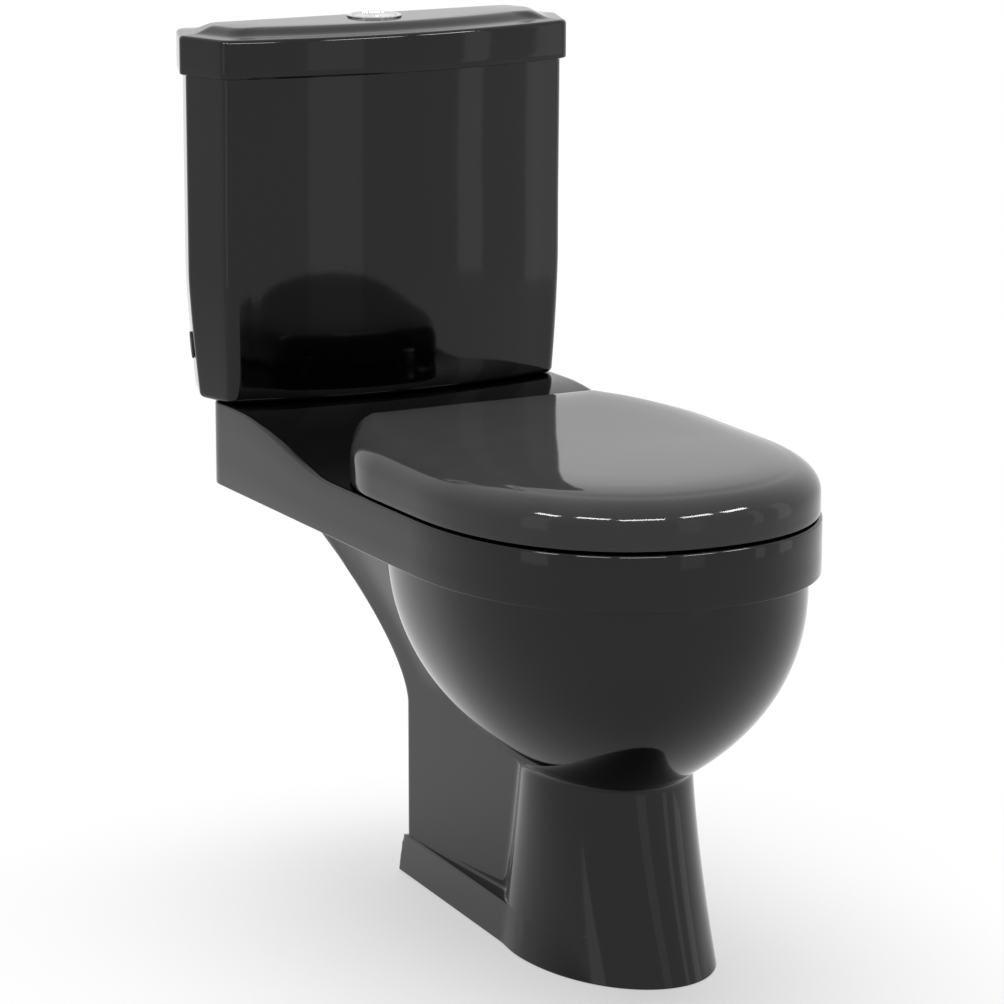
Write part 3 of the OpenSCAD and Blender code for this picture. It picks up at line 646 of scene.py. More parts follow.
def flank_half(z):
    """Half the flank's width: flat below, then fanned out toward the rim, eased in."""
    t = max(z - FAN_Z, 0) / (BAND_Z - FAN_Z)
    return FLANK_HALF + FAN_W * t * t / (t + FAN_EASE) * (1 + FAN_EASE)


def sweep_y(z):
    """The flank's rear, which sweeps back toward the shelf."""
    return min(SWEEP_END, FLANK_REAR + SWEEP_RATE * max(z - SWEEP_Z, 0) ** SWEEP_POWER)


def flank_gap(x, y, z):
    """How far outside the flank these points lie at one height, for x on the right."""
    w, rear = flank_half(z), sweep_y(z)
    narrow = smoothstep((y - FAN_FRONT) / max(rear - FAN_REAR - FAN_FRONT, FAN_FADE))
    wide = w + (FLANK_HALF - w) * narrow
    qx, qy = x - (wide - FLANK_R), y - (rear - FLANK_R)
    side = np.hypot(np.maximum(qx, 0), np.maximum(qy, 0)) + np.minimum(np.maximum(qx, qy), 0) - FLANK_R
    return np.maximum(side, COLUMN_Y - y)


def foot_gap(x, y, z):
    """How far outside the foot these points lie at one height, for x on the right."""
    e = z / LEDGE_H
    if z > LEDGE_H - LEDGE_R:
        e += LEDGE_R * (1 - math.sqrt(max(1 - ((z - (LEDGE_H - LEDGE_R)) / LEDGE_R) ** 2, 0)))
    slope = (FOOT_HALF - FOOT_SIDE_HALF) / (FOOT_SIDE_Y - COLUMN_Y)
    sides = np.maximum(x - (FOOT_HALF - e - slope * (y - COLUMN_Y)), y - (FOOT_REAR - FOOT_DRAFT * e))
    front = oval_gap(x, np.minimum(y, COLUMN_Y), FOOT_HALF - e, FOOT_NOSE, FOOT_NOSE, COLUMN_Y, 2)
    return np.where(y < COLUMN_Y, front, sides)


def body_gap(x, y, z, with_foot):
    """How far outside the bowl, flank, column and foot these points lie at one height."""
    x = np.abs(x)
    f = flare(z)
    column = oval_gap(x, y, COLUMN_HALF + HALF_FLARE * f, COLUMN_FRONT + FRONT_FLARE * f, column_rear(z),
                      COLUMN_Y, BOWL_POWER)
    gap = smooth_join(flank_gap(x, y, z), column, COLUMN_JOIN)
    if with_foot:
        gap = smooth_join(gap, foot_gap(x, y, z), FOOT_JOIN)
    s = (BAND_Z - z) / BOWL_DROP
    if s < 0.999:
        k = bowl_scale(max(s, 0))
        bowl = oval_gap(x, y, BOWL_HALF * k, BOWL_FRONT * k, max(BOWL_REAR * k, 0.5),
                        BOWL_Y - BOWL_SHIFT * s, BOWL_POWER)
        gap = smooth_join(gap, bowl, BOWL_JOIN)
    return gap


def on_rays(rays, distance, z):
    """Points of a half ring at these distances along the rays."""
    p = rays[0] + rays[1] * np.asarray(distance)[:, None]
    return np.column_stack([p, z + np.zeros(len(p))])


def polar_ring(w, front, rear, cy, power, angles, z):
    """Points of an oval at these directions from its middle, measured from the way to the front."""
    c, s = np.sin(angles), -np.cos(angles)
    c[0] = c[-1] = 0
    size = (np.abs(c / w) ** power + np.abs(s / np.where(s < 0, front, rear)) ** power) ** (-1 / power)
    return np.column_stack([c * size, cy + s * size, z + np.zeros(len(c))])


def body_ring(z, with_foot, extra=0):
    """The outside at one height, with its rays and how far along them it is.

    The rays stand closest round the rear corner, which is the foot's on the ledge and the flank's above.
    """
    corner = (FOOT_REAR_HALF, FOOT_REAR - 4) if with_foot else (FLANK_HALF - 3, sweep_y(z) - 3)
    rays = spine_rays([math.degrees(math.atan2(corner[1] - RAYS_REAR, corner[0]))])
    out = reach(rays, lambda x, y: body_gap(x, y, z, with_foot))
    return on_rays(rays, out + extra, z), rays, out


def outside_rings():
    """From the floor up to the rim's lower edge."""
    rings = [body_ring(z, True, -FLOOR_EDGE if z == 0 else 0)[0] for z in (
        0, FLOOR_EDGE, 4, 10, 16, 22, 28, 32, 35, 36, 36.8, 37.5, 37.9)]
    ring, rays, ledge = body_ring(LEDGE_H, True)
    rings.append(ring)
    # a fillet that is no wider than the ledge leaves room for
    above = reach(rays, lambda x, y: body_gap(x, y, LEDGE_H, False))
    r = np.minimum(np.maximum(ledge - above, 0.05) * 0.6, LEDGE_FILLET)
    for a in (0, *QUARTER_TURN):
        rings.append(body_ring(LEDGE_H + LEDGE_FILLET * (1 - math.cos(a)), False, r * (1 - math.sin(a)))[0])
    # closest together where the bowl comes out of the column
    for z in (*np.arange(48, 150, 9), *np.arange(152, 226, 2.5), *np.arange(228, 349, 4.5), BAND_Z):
        rings.append(body_ring(z, False)[0])
    return rings


# where the pan is hollow under its deck, behind the bowl
HOLLOW_FRONT = 18  # it opens from here
HOLLOW_EASE = 20  # over this length
HOLLOW_LEAST = 2  # and where the bowl and the skirt stand further apart than this
HOLLOW_FADE = 14
# rings from the body out to the band: shares of the way out, of the hollow's width and of its height
UNDERSIDE = ((0.04, 0.0, 0.0), (0.08, 0.0, 0.92), (0.14, 0.03, 1.0), (0.45, 0.5, 1.0),
             (0.7, 0.97, 1.0), (0.8, 1.0, 0.92), (0.88, 1.0, 0.0))


def underside_rings(rays):
    """The underside of the deck from the body out to the band, hollow behind the bowl."""
    neck = reach(rays, lambda x, y: body_gap(x, y, BAND_Z, False))
    outer = reach(rays, lambda x, y: outline_gap(x, y, BAND_EDGE))
    skirt = reach(rays, lambda x, y: outline_gap(x, y, CHINA_T))
    middle = on_rays(rays, (neck + skirt) / 2, 0)[:, 1]
    hollow = smoothstep((middle - HOLLOW_FRONT) / HOLLOW_EASE)
    hollow = hollow * smoothstep((skirt - neck - HOLLOW_LEAST) / HOLLOW_FADE)
    rings = []
    for share, inner, roof in UNDERSIDE:
        far = neck + (outer - neck) * share
        deep = neck + (skirt - neck) * inner
        p = on_rays(rays, far + (deep - far) * hollow, BAND_Z)
        ceiling = deck_top(p[:, 1]) - CHINA_T
        p[:, 2] = BAND_Z + (ceiling - BAND_Z) * roof * hollow
        rings.append(p)
    return rings + [on_rays(rays, outer, BAND_Z)]


def band_rings(rays):
    """The band round the rim and the shelf, with its rounded edges."""
    rings = []
    for a in np.radians((30, 60, 90)):
        edge = reach(rays, lambda x, y: outline_gap(x, y, BAND_EDGE * (1 - math.sin(a))))
        rings.append(on_rays(rays, edge, BAND_Z + BAND_EDGE * (1 - math.cos(a))))
    full = reach(rays, lambda x, y: outline_gap(x, y, 0))
    edge_z = deck_top(on_rays(rays, full, 0)[:, 1])
    low, high = BAND_Z + BAND_EDGE, edge_z - EDGE_R
    rings += [on_rays(rays, full, low + (high - low) * share) for share in (0.33, 0.66, 1.0)]
    for a in QUARTER_TURN:
        edge = reach(rays, lambda x, y: outline_gap(x, y, EDGE_R * (1 - math.cos(a))))
        rings.append(on_rays(rays, edge, edge_z - EDGE_R * (1 - math.sin(a))))
    return rings


def bowl_rings(start):
    """In over the deck to the mouth, down and up the lip inside it, out to the bowl's wall and down."""
    angles = np.arctan2(start[:, 0], -(start[:, 1] - MOUTH_Y))
    angles[0], angles[-1] = 0, math.pi

    def mouth(d, z):
        return polar_ring(MOUTH_HALF + d, MOUTH_LONG + d, MOUTH_LONG + d, MOUTH_Y, MOUTH_POWER, angles, z)

    def wall(s, z):
        k = bowl_scale(s)
        return polar_ring(CAVITY_HALF * k, CAVITY_FRONT * k, max(CAVITY_REAR * k - CAVITY_BACK * s, 0.5),
                          BOWL_Y - BOWL_SHIFT * s, BOWL_POWER, angles, z)

    rings = []
    end = mouth(MOUTH_EDGE, RIM_Z)
    for t in np.linspace(0, 1, 27)[1:]:
        p = start + (end - start) * t
        p[:, 2] = deck_top(p[:, 1])
        rings.append(p)
    rings += [mouth(MOUTH_EDGE * (1 - math.sin(a)), RIM_Z - MOUTH_EDGE * (1 - math.cos(a)))
              for a in QUARTER_TURN]
    lip, lip_r, roof = BAND_Z + LIP_RISE, LIP_T / 2, RIM_Z - CHINA_T
    rings += [mouth(0, z) for z in (RIM_Z - 18, RIM_Z - 31, lip + lip_r)]
    rings += [mouth(lip_r * (1 - math.cos(a)), lip + lip_r * (1 - math.sin(a)))
              for a in np.radians((30, 60, 90, 120, 150))]
    rings += [mouth(LIP_T, z) for z in (lip + lip_r, RIM_Z - 28, RIM_Z - 17)]
    inner, outer = mouth(LIP_T + 2, roof), wall(0, roof)
    rings += [inner, inner + (outer - inner) * 0.9, wall(0, roof - 2), wall(0, RIM_Z - 30)]
    # down to just above the lowest point, where a ring would have no size
    for share in 0.998 * np.sin(np.radians(np.linspace(0, 90, 43))):
        rings.append(wall(share, lip - CAVITY_DROP * share))
    return rings


def pan_rings():
    """All the rings of the pan's skin, from the floor up, over the deck and down into the bowl."""
    rays = spine_rays(SHELF_CORNERS)
    rings = outside_rings() + underside_rings(rays) + band_rings(rays)
    return [both(r) for r in rings + bowl_rings(rings[-1])]


def arc_path(y, z, r, start, stop, n):
    """Part of a circle in the plane x = 0, between two angles in degrees."""
    angles = np.radians(np.linspace(start, stop, n))
    return [(0, y + r * math.cos(a), z + r * math.sin(a)) for a in angles]


def trapway():
    """The way out of the bowl, down, over the crest and down to the outlet, with its rounded start."""
    dip_y = CREST_Y - CREST_R - DIP_R
    path = ([(0, MOUTH_Y, DIP_Z), (0, (MOUTH_Y + dip_y) / 2, DIP_Z)]
            + arc_path(dip_y, DIP_Z + DIP_R, DIP_R, -90, 0, 13)
            + arc_path(CREST_Y, CREST_Z, CREST_R, 180, 0, 25)
            + [(0, OUTLET_Y, OUTLET_LEN + 90), (0, OUTLET_Y, OUTLET_LEN - 2)])
    ball = [(TRAP_R * math.sin(a), -TRAP_R * math.cos(a)) for a in np.radians(np.linspace(4, 176, 24))]
    return [tube_along(path, TRAP_R), lathe("cutter", ball, (0, MOUTH_Y, DIP_Z)),
            rod((0, OUTLET_Y, 0), OUTLET_R, -5, OUTLET_LEN)]


def flush_way():
    """The well in the shelf, and the way from it to the bowl."""
    low = WELL_Z - FLUSH_DROP
    return [rod((0, FLUSH_Y, 0), WELL_R, WELL_Z, SHELF_Z + 5, 96),
            rod((0, FLUSH_Y, 0), FLUSH_R, low, WELL_Z + 1),
            rod((0, 0, low), FLUSH_R, 10, FLUSH_Y + 10, axis="Y")]


def column_hollow():
    """The hollow under the bowl, open at the floor."""
    rings = []
    for z in np.linspace(-3, COLUMN_HOLLOW_TOP, 8):
        f = flare(max(z, 0))
        half = COLUMN_HALF + HALF_FLARE * f - FOOT_T
        front = quarter(half, COLUMN_FRONT + FRONT_FLARE * f - FOOT_T, COLUMN_Y, BOWL_POWER, 0, 90, 20)
        rear = quarter(half, column_rear(z) - FOOT_T, COLUMN_Y, BOWL_POWER, 94.5, 180, 19)
        rings.append(level(front + rear, z))
    return loft("cutter", rings)


def make_pan():
    pan = loft("pan_skin", pan_rings())
    cutters = trapway() + flush_way() + [column_hollow()]
    for side in (-1, 1):
        hinge, couple = (side * HINGE_X, HOLE_Y, 0), (side * COUPLE_X, FLUSH_Y, 0)
        cutters += [rod(hinge, HINGE_FLAT_R, RIM_Z, RIM_Z + 20),
                    rod(hinge, HINGE_HOLE_R, POCKET_Z - 10, RIM_Z + 5),
                    rod(couple, COUPLE_HOLE_R, SHELF_Z - 40, SHELF_Z + 5)]
    combine(pan, cutters)
    tidy_mesh(pan, GLAZE)
    return pan


# ---- the cistern and its lid ----
FRONT_PROFILE = spline([(CISTERN_Z, FRONT_LEAN), (450, 5.6), (480, 4.1), (510, 3.2), (545, 2.65),
                        (580, 2.5), (610, 2.3), (650, 1.55), (700, 0.65), (CISTERN_TOP, 0)], 12)


def cistern_corners(narrow, lean=0.0):
    """The front, widest and back corners on the right, narrowed and leant in."""
    return (np.array([FRONT_HALF - narrow * FRONT_SHARE, FRONT_MID + FRONT_BOW + lean]),
            np.array([WIDE_HALF - narrow * WIDE_SHARE, WIDE_Y]), np.array([BACK_HALF - narrow, BACK_Y]))


def cistern_half(d, narrow=0.0, lean=0.0, back=None):
    """The right half of the cistern's plan, set in by d all round, or by back at the rear."""
    a, b, c = cistern_corners(narrow, lean)
    # the bowed front stops short of its corner and comes to it at this slope
    ahead = np.array([30, FRONT_BOW * 0.3])
    k = [inward(a - ahead, a, b, d), inward(a, b, c, d)]
    k.append(k[1] + (c - b) * (BACK_Y - (d if back is None else back) - k[1][1]) / (BACK_Y - WIDE_Y))
    bow_x = (k[0][0] - 22) * np.arange(25) / 24
    out = [np.array([x, FRONT_MID + lean + d + FRONT_BOW * (x / k[0][0]) ** 2]) for x in bow_x]
    for turn in (fillet(k[0] - ahead, k[0], k[1], FRONT_R, 10), fillet(k[0], k[1], k[2], WIDE_R, 8),
                 fillet(k[1], k[2], np.array([0, k[2][1]]), BACK_R, 8)):
        last = out[-1]
        out += [last + (turn[0] - last) * t for t in np.linspace(0, 1, 7)[1:-1]] + turn
    return out + [np.array([out[-1][0] * t, k[2][1]]) for t in np.linspace(1, 0, 9)[1:]]


def taper(z):
    """How much each side is narrowed: not at all above, more and more below."""
    return SIDE_TAPER * (max(TAPER_Z - z, 0) / (TAPER_Z - CISTERN_Z)) ** TAPER_POWER


def front_lean(z):
    """How far the front stands back: nearly upright at mid height, more below."""
    return float(np.interp(z, FRONT_PROFILE[:, 0], FRONT_PROFILE[:, 1]))


def cistern_rings(d, z0, r, z1):
    """The walls set in by d, from a rounded bottom up."""
    turn = np.radians(np.linspace(0, 90, 9)[:-1])
    steps = [(d + r * (1 - math.sin(a)), z0 + r * (1 - math.cos(a))) for a in turn]
    steps += [(d, z) for z in np.linspace(z0 + r, z1, 34)]
    return [level(cistern_half(BODY_INSET + e, taper(z), front_lean(z), e), z) for e, z in steps]


def inlet_frame():
    """The flat rear side at the inlet: its place and the way that it faces, on the right."""
    a, b, c = cistern_corners(taper(INLET_Z))
    b, c = inward(a, b, c, BODY_INSET), inward(b, c, np.array([0, BACK_Y]), BODY_INSET)
    along = unit(c - b)
    turn = math.atan2(-along[0], along[1])
    draft = math.atan(math.cos(turn) * (taper(INLET_LOW) - taper(INLET_HIGH)) / (INLET_HIGH - INLET_LOW))
    at = b + along * INLET_IN
    return Matrix.Translation(Vector((at[0], at[1], INLET_Z)) * MM) @ Matrix.Rotation(turn, 4, "Z") @ \
        Matrix.Rotation(math.pi / 2 + draft, 4, "Y")


def make_cistern():
    brim = CISTERN_TOP - BRIM_EDGE
    outer = cistern_rings(0, CISTERN_Z, BOTTOM_R, brim)
    inner = cistern_rings(CISTERN_T, CISTERN_FLOOR, 6, brim)
    rim = [level(cistern_half(BODY_INSET + d, back=d), z) for d, z in (
        (0.45, CISTERN_TOP - 0.45), (BRIM_EDGE, CISTERN_TOP), (CISTERN_T - BRIM_EDGE, CISTERN_TOP),
        (CISTERN_T - 0.45, CISTERN_TOP - 0.45))]
    made = loft("cistern_skin", outer + rim + inner[::-1])
    cutters = [rod((0, FLUSH_Y, 0), FLUSH_R + 6, CISTERN_Z - 5, CISTERN_FLOOR + 5)]
    for side in (-1, 1):
        cutters.append(rod((side * COUPLE_X, FLUSH_Y, 0), COUPLE_HOLE_R, CISTERN_Z - 5, CISTERN_FLOOR + 5))
        hole = rod((0, 0, 0), INLET_R, -20, 5)
        hole.data.transform(inlet_frame())
        if side < 0:
            hole.data.transform(Matrix.Scale(-1, 4, (1, 0, 0)))
            hole.data.flip_normals()
        cutters.append(hole)
    combine(made, cutters)
    tidy_mesh(made, GLAZE)
    return made


def crown(inset):
    """How far the lid's top has risen, this far in from its outline: a little lip, then a long slope."""
    lip = CROWN_LIP * smoothstep((inset - LID_EDGE) / 10)
    return lip + (CROWN_H - CROWN_LIP) * smoothstep((inset - SLOPE_START) / (SLOPE_END - SLOPE_START))


def toward_hole(outline, radius, z0, z1, steps):
    """Rings from an outline in to, or out from, the round hole for the buttons."""
    outline = np.array(outline)
    ways = outline[:, :2] - (0, FLUSH_Y)
    circle = (0, FLUSH_Y) + ways / np.linalg.norm(ways, axis=1)[:, None] * radius
    return [np.column_stack([outline[:, :2] + (circle - outline[:, :2]) * t,
                             np.full(len(outline), z0 + (z1 - z0) * t)]) for t in steps]


def make_cistern_lid():
    edge_top, seat, hole = LID_Z + LID_SKIRT, CROWN_Z - 1, BARREL_OUT + LID_HOLE_GAP
    outside = [level(cistern_half(d), LID_Z + h) for d, h in (
        (6, 0), (1.5, 0), (0.45, 0.6), (0, 2), (0, 10), (0, 21), (0, LID_SKIRT - LID_EDGE))]
    for a in np.radians((15, 30, 45, 60, 75, 90)):
        outside.append(level(cistern_half(LID_EDGE * (1 - math.cos(a))),
                             edge_top - LID_EDGE * (1 - math.sin(a))))
    outside += [level(cistern_half(d), edge_top + crown(d)) for d in np.linspace(6, SLOPE_END, 15)]
    # a seat for the bezel, 1 mm deep, and the hole for its barrel
    outside += toward_hole(outside[-1], BEZEL_R + LID_HOLE_GAP, CROWN_Z, CROWN_Z, (0.3, 0.6, 0.85, 1))
    outside += toward_hole(outside[-1], BEZEL_R + LID_HOLE_GAP, seat, seat, (1,))
    outside += toward_hole(outside[-1], hole, seat, seat, (1,))
    inside = [level(cistern_half(d), z) for d, z in (
        (20, LID_Z), (20, LID_UNDER - 7.5), (26, LID_UNDER - 2), (33, LID_UNDER))]
    inside += toward_hole(inside[-1], hole, LID_UNDER, LID_UNDER, (0.3, 0.6, 0.85, 1))
    made = loft("cistern_lid_skin", inside[::-1] + outside, wrap=True)
    rebate = [level(cistern_half(BODY_INSET - LID_GAP, back=-2), z) for z in (LID_Z - 1, CISTERN_TOP + 0.3)]
    combine(made, [loft("cutter", rebate)])
    tidy_mesh(made, GLAZE)
    return made


# ---- the seat ----
def seat_half_outline(d, rear):
    """The right half of the seat's plan, set in by d, for this straight rear edge."""
    half, draw = SEAT_HALF - d, rear - SEAT_CORNER - SEAT_STRAIGHT_Y
    a = np.array([SEAT_HALF - SEAT_NARROW, rear - SEAT_CORNER])
    b = np.array([a[0] - SEAT_CORNER * 2 * SEAT_NARROW / draw, rear])
    k = inward(a, b, np.array([0.0, rear]), d)
    nose = quarter(half, SEAT_NOSE - d, NOSE_Y, NOSE_POWER, 0, 90, 56)
    straight = [nose[-1] + (np.array([half, SEAT_STRAIGHT_Y]) - nose[-1]) * t
                for t in np.linspace(0, 1, 11)[1:-1]]
    side = [np.array([half - SEAT_NARROW * t * t, SEAT_STRAIGHT_Y + draw * t])
            for t in np.linspace(0, 0.8, 17)]
    turn = fillet(k + a - b, k, np.array([0.0, k[1]]), max(SEAT_CORNER_R - d, 5), 14)
    gap = [side[-1] + (turn[0] - side[-1]) * t for t in (0.33, 0.67)]
    back = [np.array([turn[-1][0] * t, k[1]]) for t in np.linspace(1, 0, 11)[1:]]
    return nose + straight + side + gap + turn + back


def seat_outline(d, z, rear=SEAT_REAR):
    """A ring of the seat's plan at one height; far in it only shrinks toward the middle."""
    e = min(d, SEAT_FOLD)
    f = (SEAT_HALF - d) / (SEAT_HALF - e) if d > SEAT_FOLD else 1
    return np.array([(p[0] * f, MOUTH_Y + (p[1] - MOUTH_Y) * f, z)
                     for p in both(seat_half_outline(e, rear))])


def lid_rings(t, steps):
    """The lid's rounded edge and its top, t mm inside their outer surface."""
    turn, top = np.radians((0, 11, 22, 33, 44, 55, 66, 78)), RIM_Z + SEAT_TOP - t
    knots = [(t + (30 - t) * (1 - math.cos(a)), RIM_Z + 20 + (SEAT_TOP - 25 - t) * math.sin(a))
             for a in turn]
    knots += [(30, top - 4), (44, top - 2), (64, top - 0.9), (100, top - 0.3), (140, top)]
    rings = []
    for d, z in spline(knots, steps):
        ring = seat_outline(d, z, SEAT_REAR + 0.75 * (min(d, SEAT_FOLD) - t))
        rise = SEAT_RISE * np.maximum((ring[:, 1] - MOUTH_Y) / (SEAT_REAR - MOUTH_Y), 0) ** 1.5
        ring[:, 2] += rise * min((z - SEAT_Z) / SEAT_SHOULDER, 1)
        rings.append(ring)
    return rings


def hinge_ear(side, near, far, lo, hi):
    """A block and a barrel round the pin, between two distances from the middle of the seat."""
    x0, x1 = sorted((side * near, side * far))
    barrel = [(BARREL_R - 1, x0), (BARREL_R, x0 + 1), (BARREL_R, x1 - 1), (BARREL_R - 1, x1)]
    return [box((x0, *lo), (x1, *hi)), lathe("ear", barrel, (0, HINGE_Y, HINGE_Z), "X")]


def bore_ears(made, near, far):
    """Cuts the pin's hole on both sides, between two distances from the middle."""
    for side in (-1, 1):
        x0, x1 = sorted((side * near, side * far))
        combine(made, [rod((0, HINGE_Y, HINGE_Z), PIN_R + RUN_FIT, x0, x1, axis="X")])


def lid_rear_cut():
    """What the lid leaves open at its rear for the ring, the hinge posts and the deck."""
    section = [(RING_REAR, SEAT_Z - 5), (RING_REAR, SEAT_Z), (HINGE_Y - 2, SEAT_Z + 3),
               (HINGE_Y - 2, HINGE_Z - 5.5), (HINGE_Y + 40, HINGE_Z - 5.5), (HINGE_Y + 40, SEAT_Z - 5)]
    m = len(section)
    points = [(x, y, z) for x in (-190, 190) for y, z in section]
    faces = [tuple(range(m)), tuple(range(2 * m - 1, m - 1, -1))]
    faces += [(i, m + i, m + (i + 1) % m, (i + 1) % m) for i in range(m)]
    return mesh_object("cutter", points, faces)


def make_seat_lid():
    outside = [seat_outline(d, SEAT_Z + h) for d, h in ((1.2, 0), (0.35, 0.35), (0, 1.2), (0, 6), (0, 12))]
    inside = [seat_outline(d, SEAT_Z + h) for d, h in ((SEAT_T - 0.5, 0), (SEAT_T, 0.6), (SEAT_T, 9))]
    inside += lid_rings(SEAT_T, 3)
    made = loft("seat_lid_skin", inside[::-1] + outside + lid_rings(0, 5))
    cutters = [lid_rear_cut()]
    for x in (-HINGE_X, HINGE_X):
        cutters.append(box((x - NOTCH_HALF, HINGE_Y - 2, SEAT_Z - 5),
                           (x + NOTCH_HALF, HINGE_Y + 38, HINGE_Z + 10)))
    combine(made, cutters)
    near = HINGE_X + BARREL_L / 2 + REST_GAP
    bosses = []
    for side in (-1, 1):
        bosses += hinge_ear(side, near, near + EAR_L, (HINGE_Y - BARREL_R, HINGE_Z),
                            (HINGE_Y + BARREL_R, RIM_Z + SEAT_TOP - 7))
    for x, y in LID_BUFFERS:
        for side in (-1, 1):
            bosses.append(rod((side * x, y, 0), 8, RIM_Z + 38, RIM_Z + SEAT_TOP - 6))
    combine(made, bosses, "UNION")
    bore_ears(made, HINGE_X, HINGE_X + 40)
    tidy_mesh(made, SEAT)
    return made


def make_seat_ring():
    outside = [seat_outline(RING_INSET + d, RING_Z + h, RING_REAR) for d, h in spline([
        (1, 0), (0.3, 0.3), (0, 1), (0, 6), (0, RING_T - 12), (1.5, RING_T - 6), (6, RING_T - 2),
        (14, RING_T)], 3)]
    outer = outside[-1]
    angles = np.arctan2(outer[:, 0], -(outer[:, 1] - MOUTH_Y))

    def mouth(d, h):
        c, s = np.sin(angles), -np.cos(angles)
        w, l = RING_MOUTH_HALF + d, RING_MOUTH_LONG + d
        size = (np.abs(c / w) ** MOUTH_POWER + np.abs(s / l) ** MOUTH_POWER) ** (-1 / MOUTH_POWER)
        return np.column_stack([c * size, MOUTH_Y + s * size, RING_Z + h + 0 * c])

    inner = mouth(9, RING_T)
    top = [outer + (inner - outer) * t for t in np.linspace(0, 1, 7)[1:]]
    wall = [mouth(d, h) for d, h in spline([
        (9, RING_T), (3, RING_T - 3), (0, RING_T - 9), (0, 3), (0.4, 0.8), (1.2, 0)], 3)[1:]]
    under = [wall[-1] + (outside[0] - wall[-1]) * t for t in (0.25, 0.5, 0.75)]
    made = loft("seat_ring_skin", outside + top + wall + under, wrap=True)
    far = HINGE_X - BARREL_L / 2 - REST_GAP
    ears = []
    for side in (-1, 1):
        ears += hinge_ear(side, far - EAR_L, far, (RING_REAR - 24, HINGE_Z - 5),
                          (HINGE_Y, HINGE_Z + BARREL_R))
    combine(made, ears, "UNION")
    bore_ears(made, HINGE_X - 40, HINGE_X)
    tidy_mesh(made, SEAT)
    return made


# ---- threads and ribs, which nodes repeat ----
def node_group(name, inputs):
    """A new tree from a mesh and these named sizes to a mesh."""
    tree = bpy.data.node_groups.new(name, "GeometryNodeTree")
    for key, kind in dict(Mesh="Geometry", **inputs).items():
        tree.interface.new_socket(key, in_out="INPUT", socket_type="NodeSocket" + kind)
    tree.interface.new_socket("Mesh", in_out="OUTPUT", socket_type="NodeSocketGeometry")
    return tree, node(tree, "NodeGroupInput").outputs


def finish_tree(tree, given, parts):
    """Joins the repeated parts to the given mesh, as real geometry in one finish."""
    joined = node(tree, "GeometryNodeJoinGeometry", {0: given["Mesh"]})
    tree.links.new(parts, joined.inputs[0])
    real = node(tree, "GeometryNodeRealizeInstances", {0: joined.outputs[0]})
    done = node(tree, "GeometryNodeSetMaterial", {
        "Geometry": real.outputs[0], "Material": given["Finish"]})
    node(tree, "NodeGroupOutput", {0: done.outputs[0]})
    return tree


def thread_tree():
    """A ridge that winds up each of two shanks."""
    tree, given = node_group("screw_thread", {
        "Radius": "Float", "Depth": "Float", "Turns": "Float", "Height": "Float",
        "First": "Vector", "Last": "Vector", "Finish": "Material"})
    helix = node(tree, "GeometryNodeCurveSpiral", {
        "Resolution": 24, "Rotations": given["Turns"], "Start Radius": given["Radius"],
        "End Radius": given["Radius"], "Height": given["Height"]})
    section = node(tree, "GeometryNodeCurvePrimitiveCircle", {"Resolution": 4, "Radius": given["Depth"]})
    ridge = node(tree, "GeometryNodeCurveToMesh", {
        "Curve": helix.outputs[0], "Profile Curve": section.outputs[0], "Fill Caps": True})
    feet = node(tree, "GeometryNodeMeshLine", {
        "Count": 2, "Start Location": given["First"], "Offset": given["Last"]}, mode="END_POINTS")
    ridges = node(tree, "GeometryNodeInstanceOnPoints", {
        "Points": feet.outputs[0], "Instance": ridge.outputs[0]})
    return finish_tree(tree, given, ridges.outputs[0])


def rib_tree():
    """Upright grip ribs round a nut."""
    tree, given = node_group("grip_ribs", {
        "Count": "Int", "Radius": "Float", "Rib": "Vector", "Centre": "Vector", "Finish": "Material"})
    circle = node(tree, "GeometryNodeMeshCircle", {
        "Vertices": given["Count"], "Radius": given["Radius"]})
    rib = node(tree, "GeometryNodeMeshCube", {"Size": given["Rib"]})
    out = node(tree, "FunctionNodeAlignRotationToVector", {
        "Vector": node(tree, "GeometryNodeInputPosition").outputs[0]}, axis="X")
    ribs = node(tree, "GeometryNodeInstanceOnPoints", {
        "Points": circle.outputs[0], "Instance": rib.outputs[0], "Rotation": out.outputs[0]})
    moved = node(tree, "GeometryNodeTransform", {
        "Geometry": ribs.outputs[0], "Translation": given["Centre"]})
    return finish_tree(tree, given, moved.outputs[0])


def in_metres(point):
    return tuple(n * MM for n in point)


def threaded(made, radius, depth, pitch, z0, z1, places, finish):
    """Winds a ridge from z0 up to z1 at each of two places, which may be the same."""
    (x0, y0), (x1, y1) = places
    return apply_modifier(made, "NODES", node_group=THREADS, named={
        "Radius": (radius - depth) * MM, "Depth": depth * MM, "Turns": (z1 - z0) / pitch,
        "Height": (z1 - z0) * MM, "First": in_metres((x0, y0, z0)), "Last": in_metres((x1, y1, z0)),
        "Finish": finish})


def ribbed(made, count, radius, rib, centre, finish):
    """Sets this many ribs, of this size, round an upright line."""
    return apply_modifier(made, "NODES", node_group=RIBS, named={
        "Count": count, "Radius": (radius - rib[0] / 2) * MM, "Rib": in_metres(rib),
        "Centre": in_metres(centre), "Finish": finish})


THREADS, RIBS = thread_tree(), rib_tree()


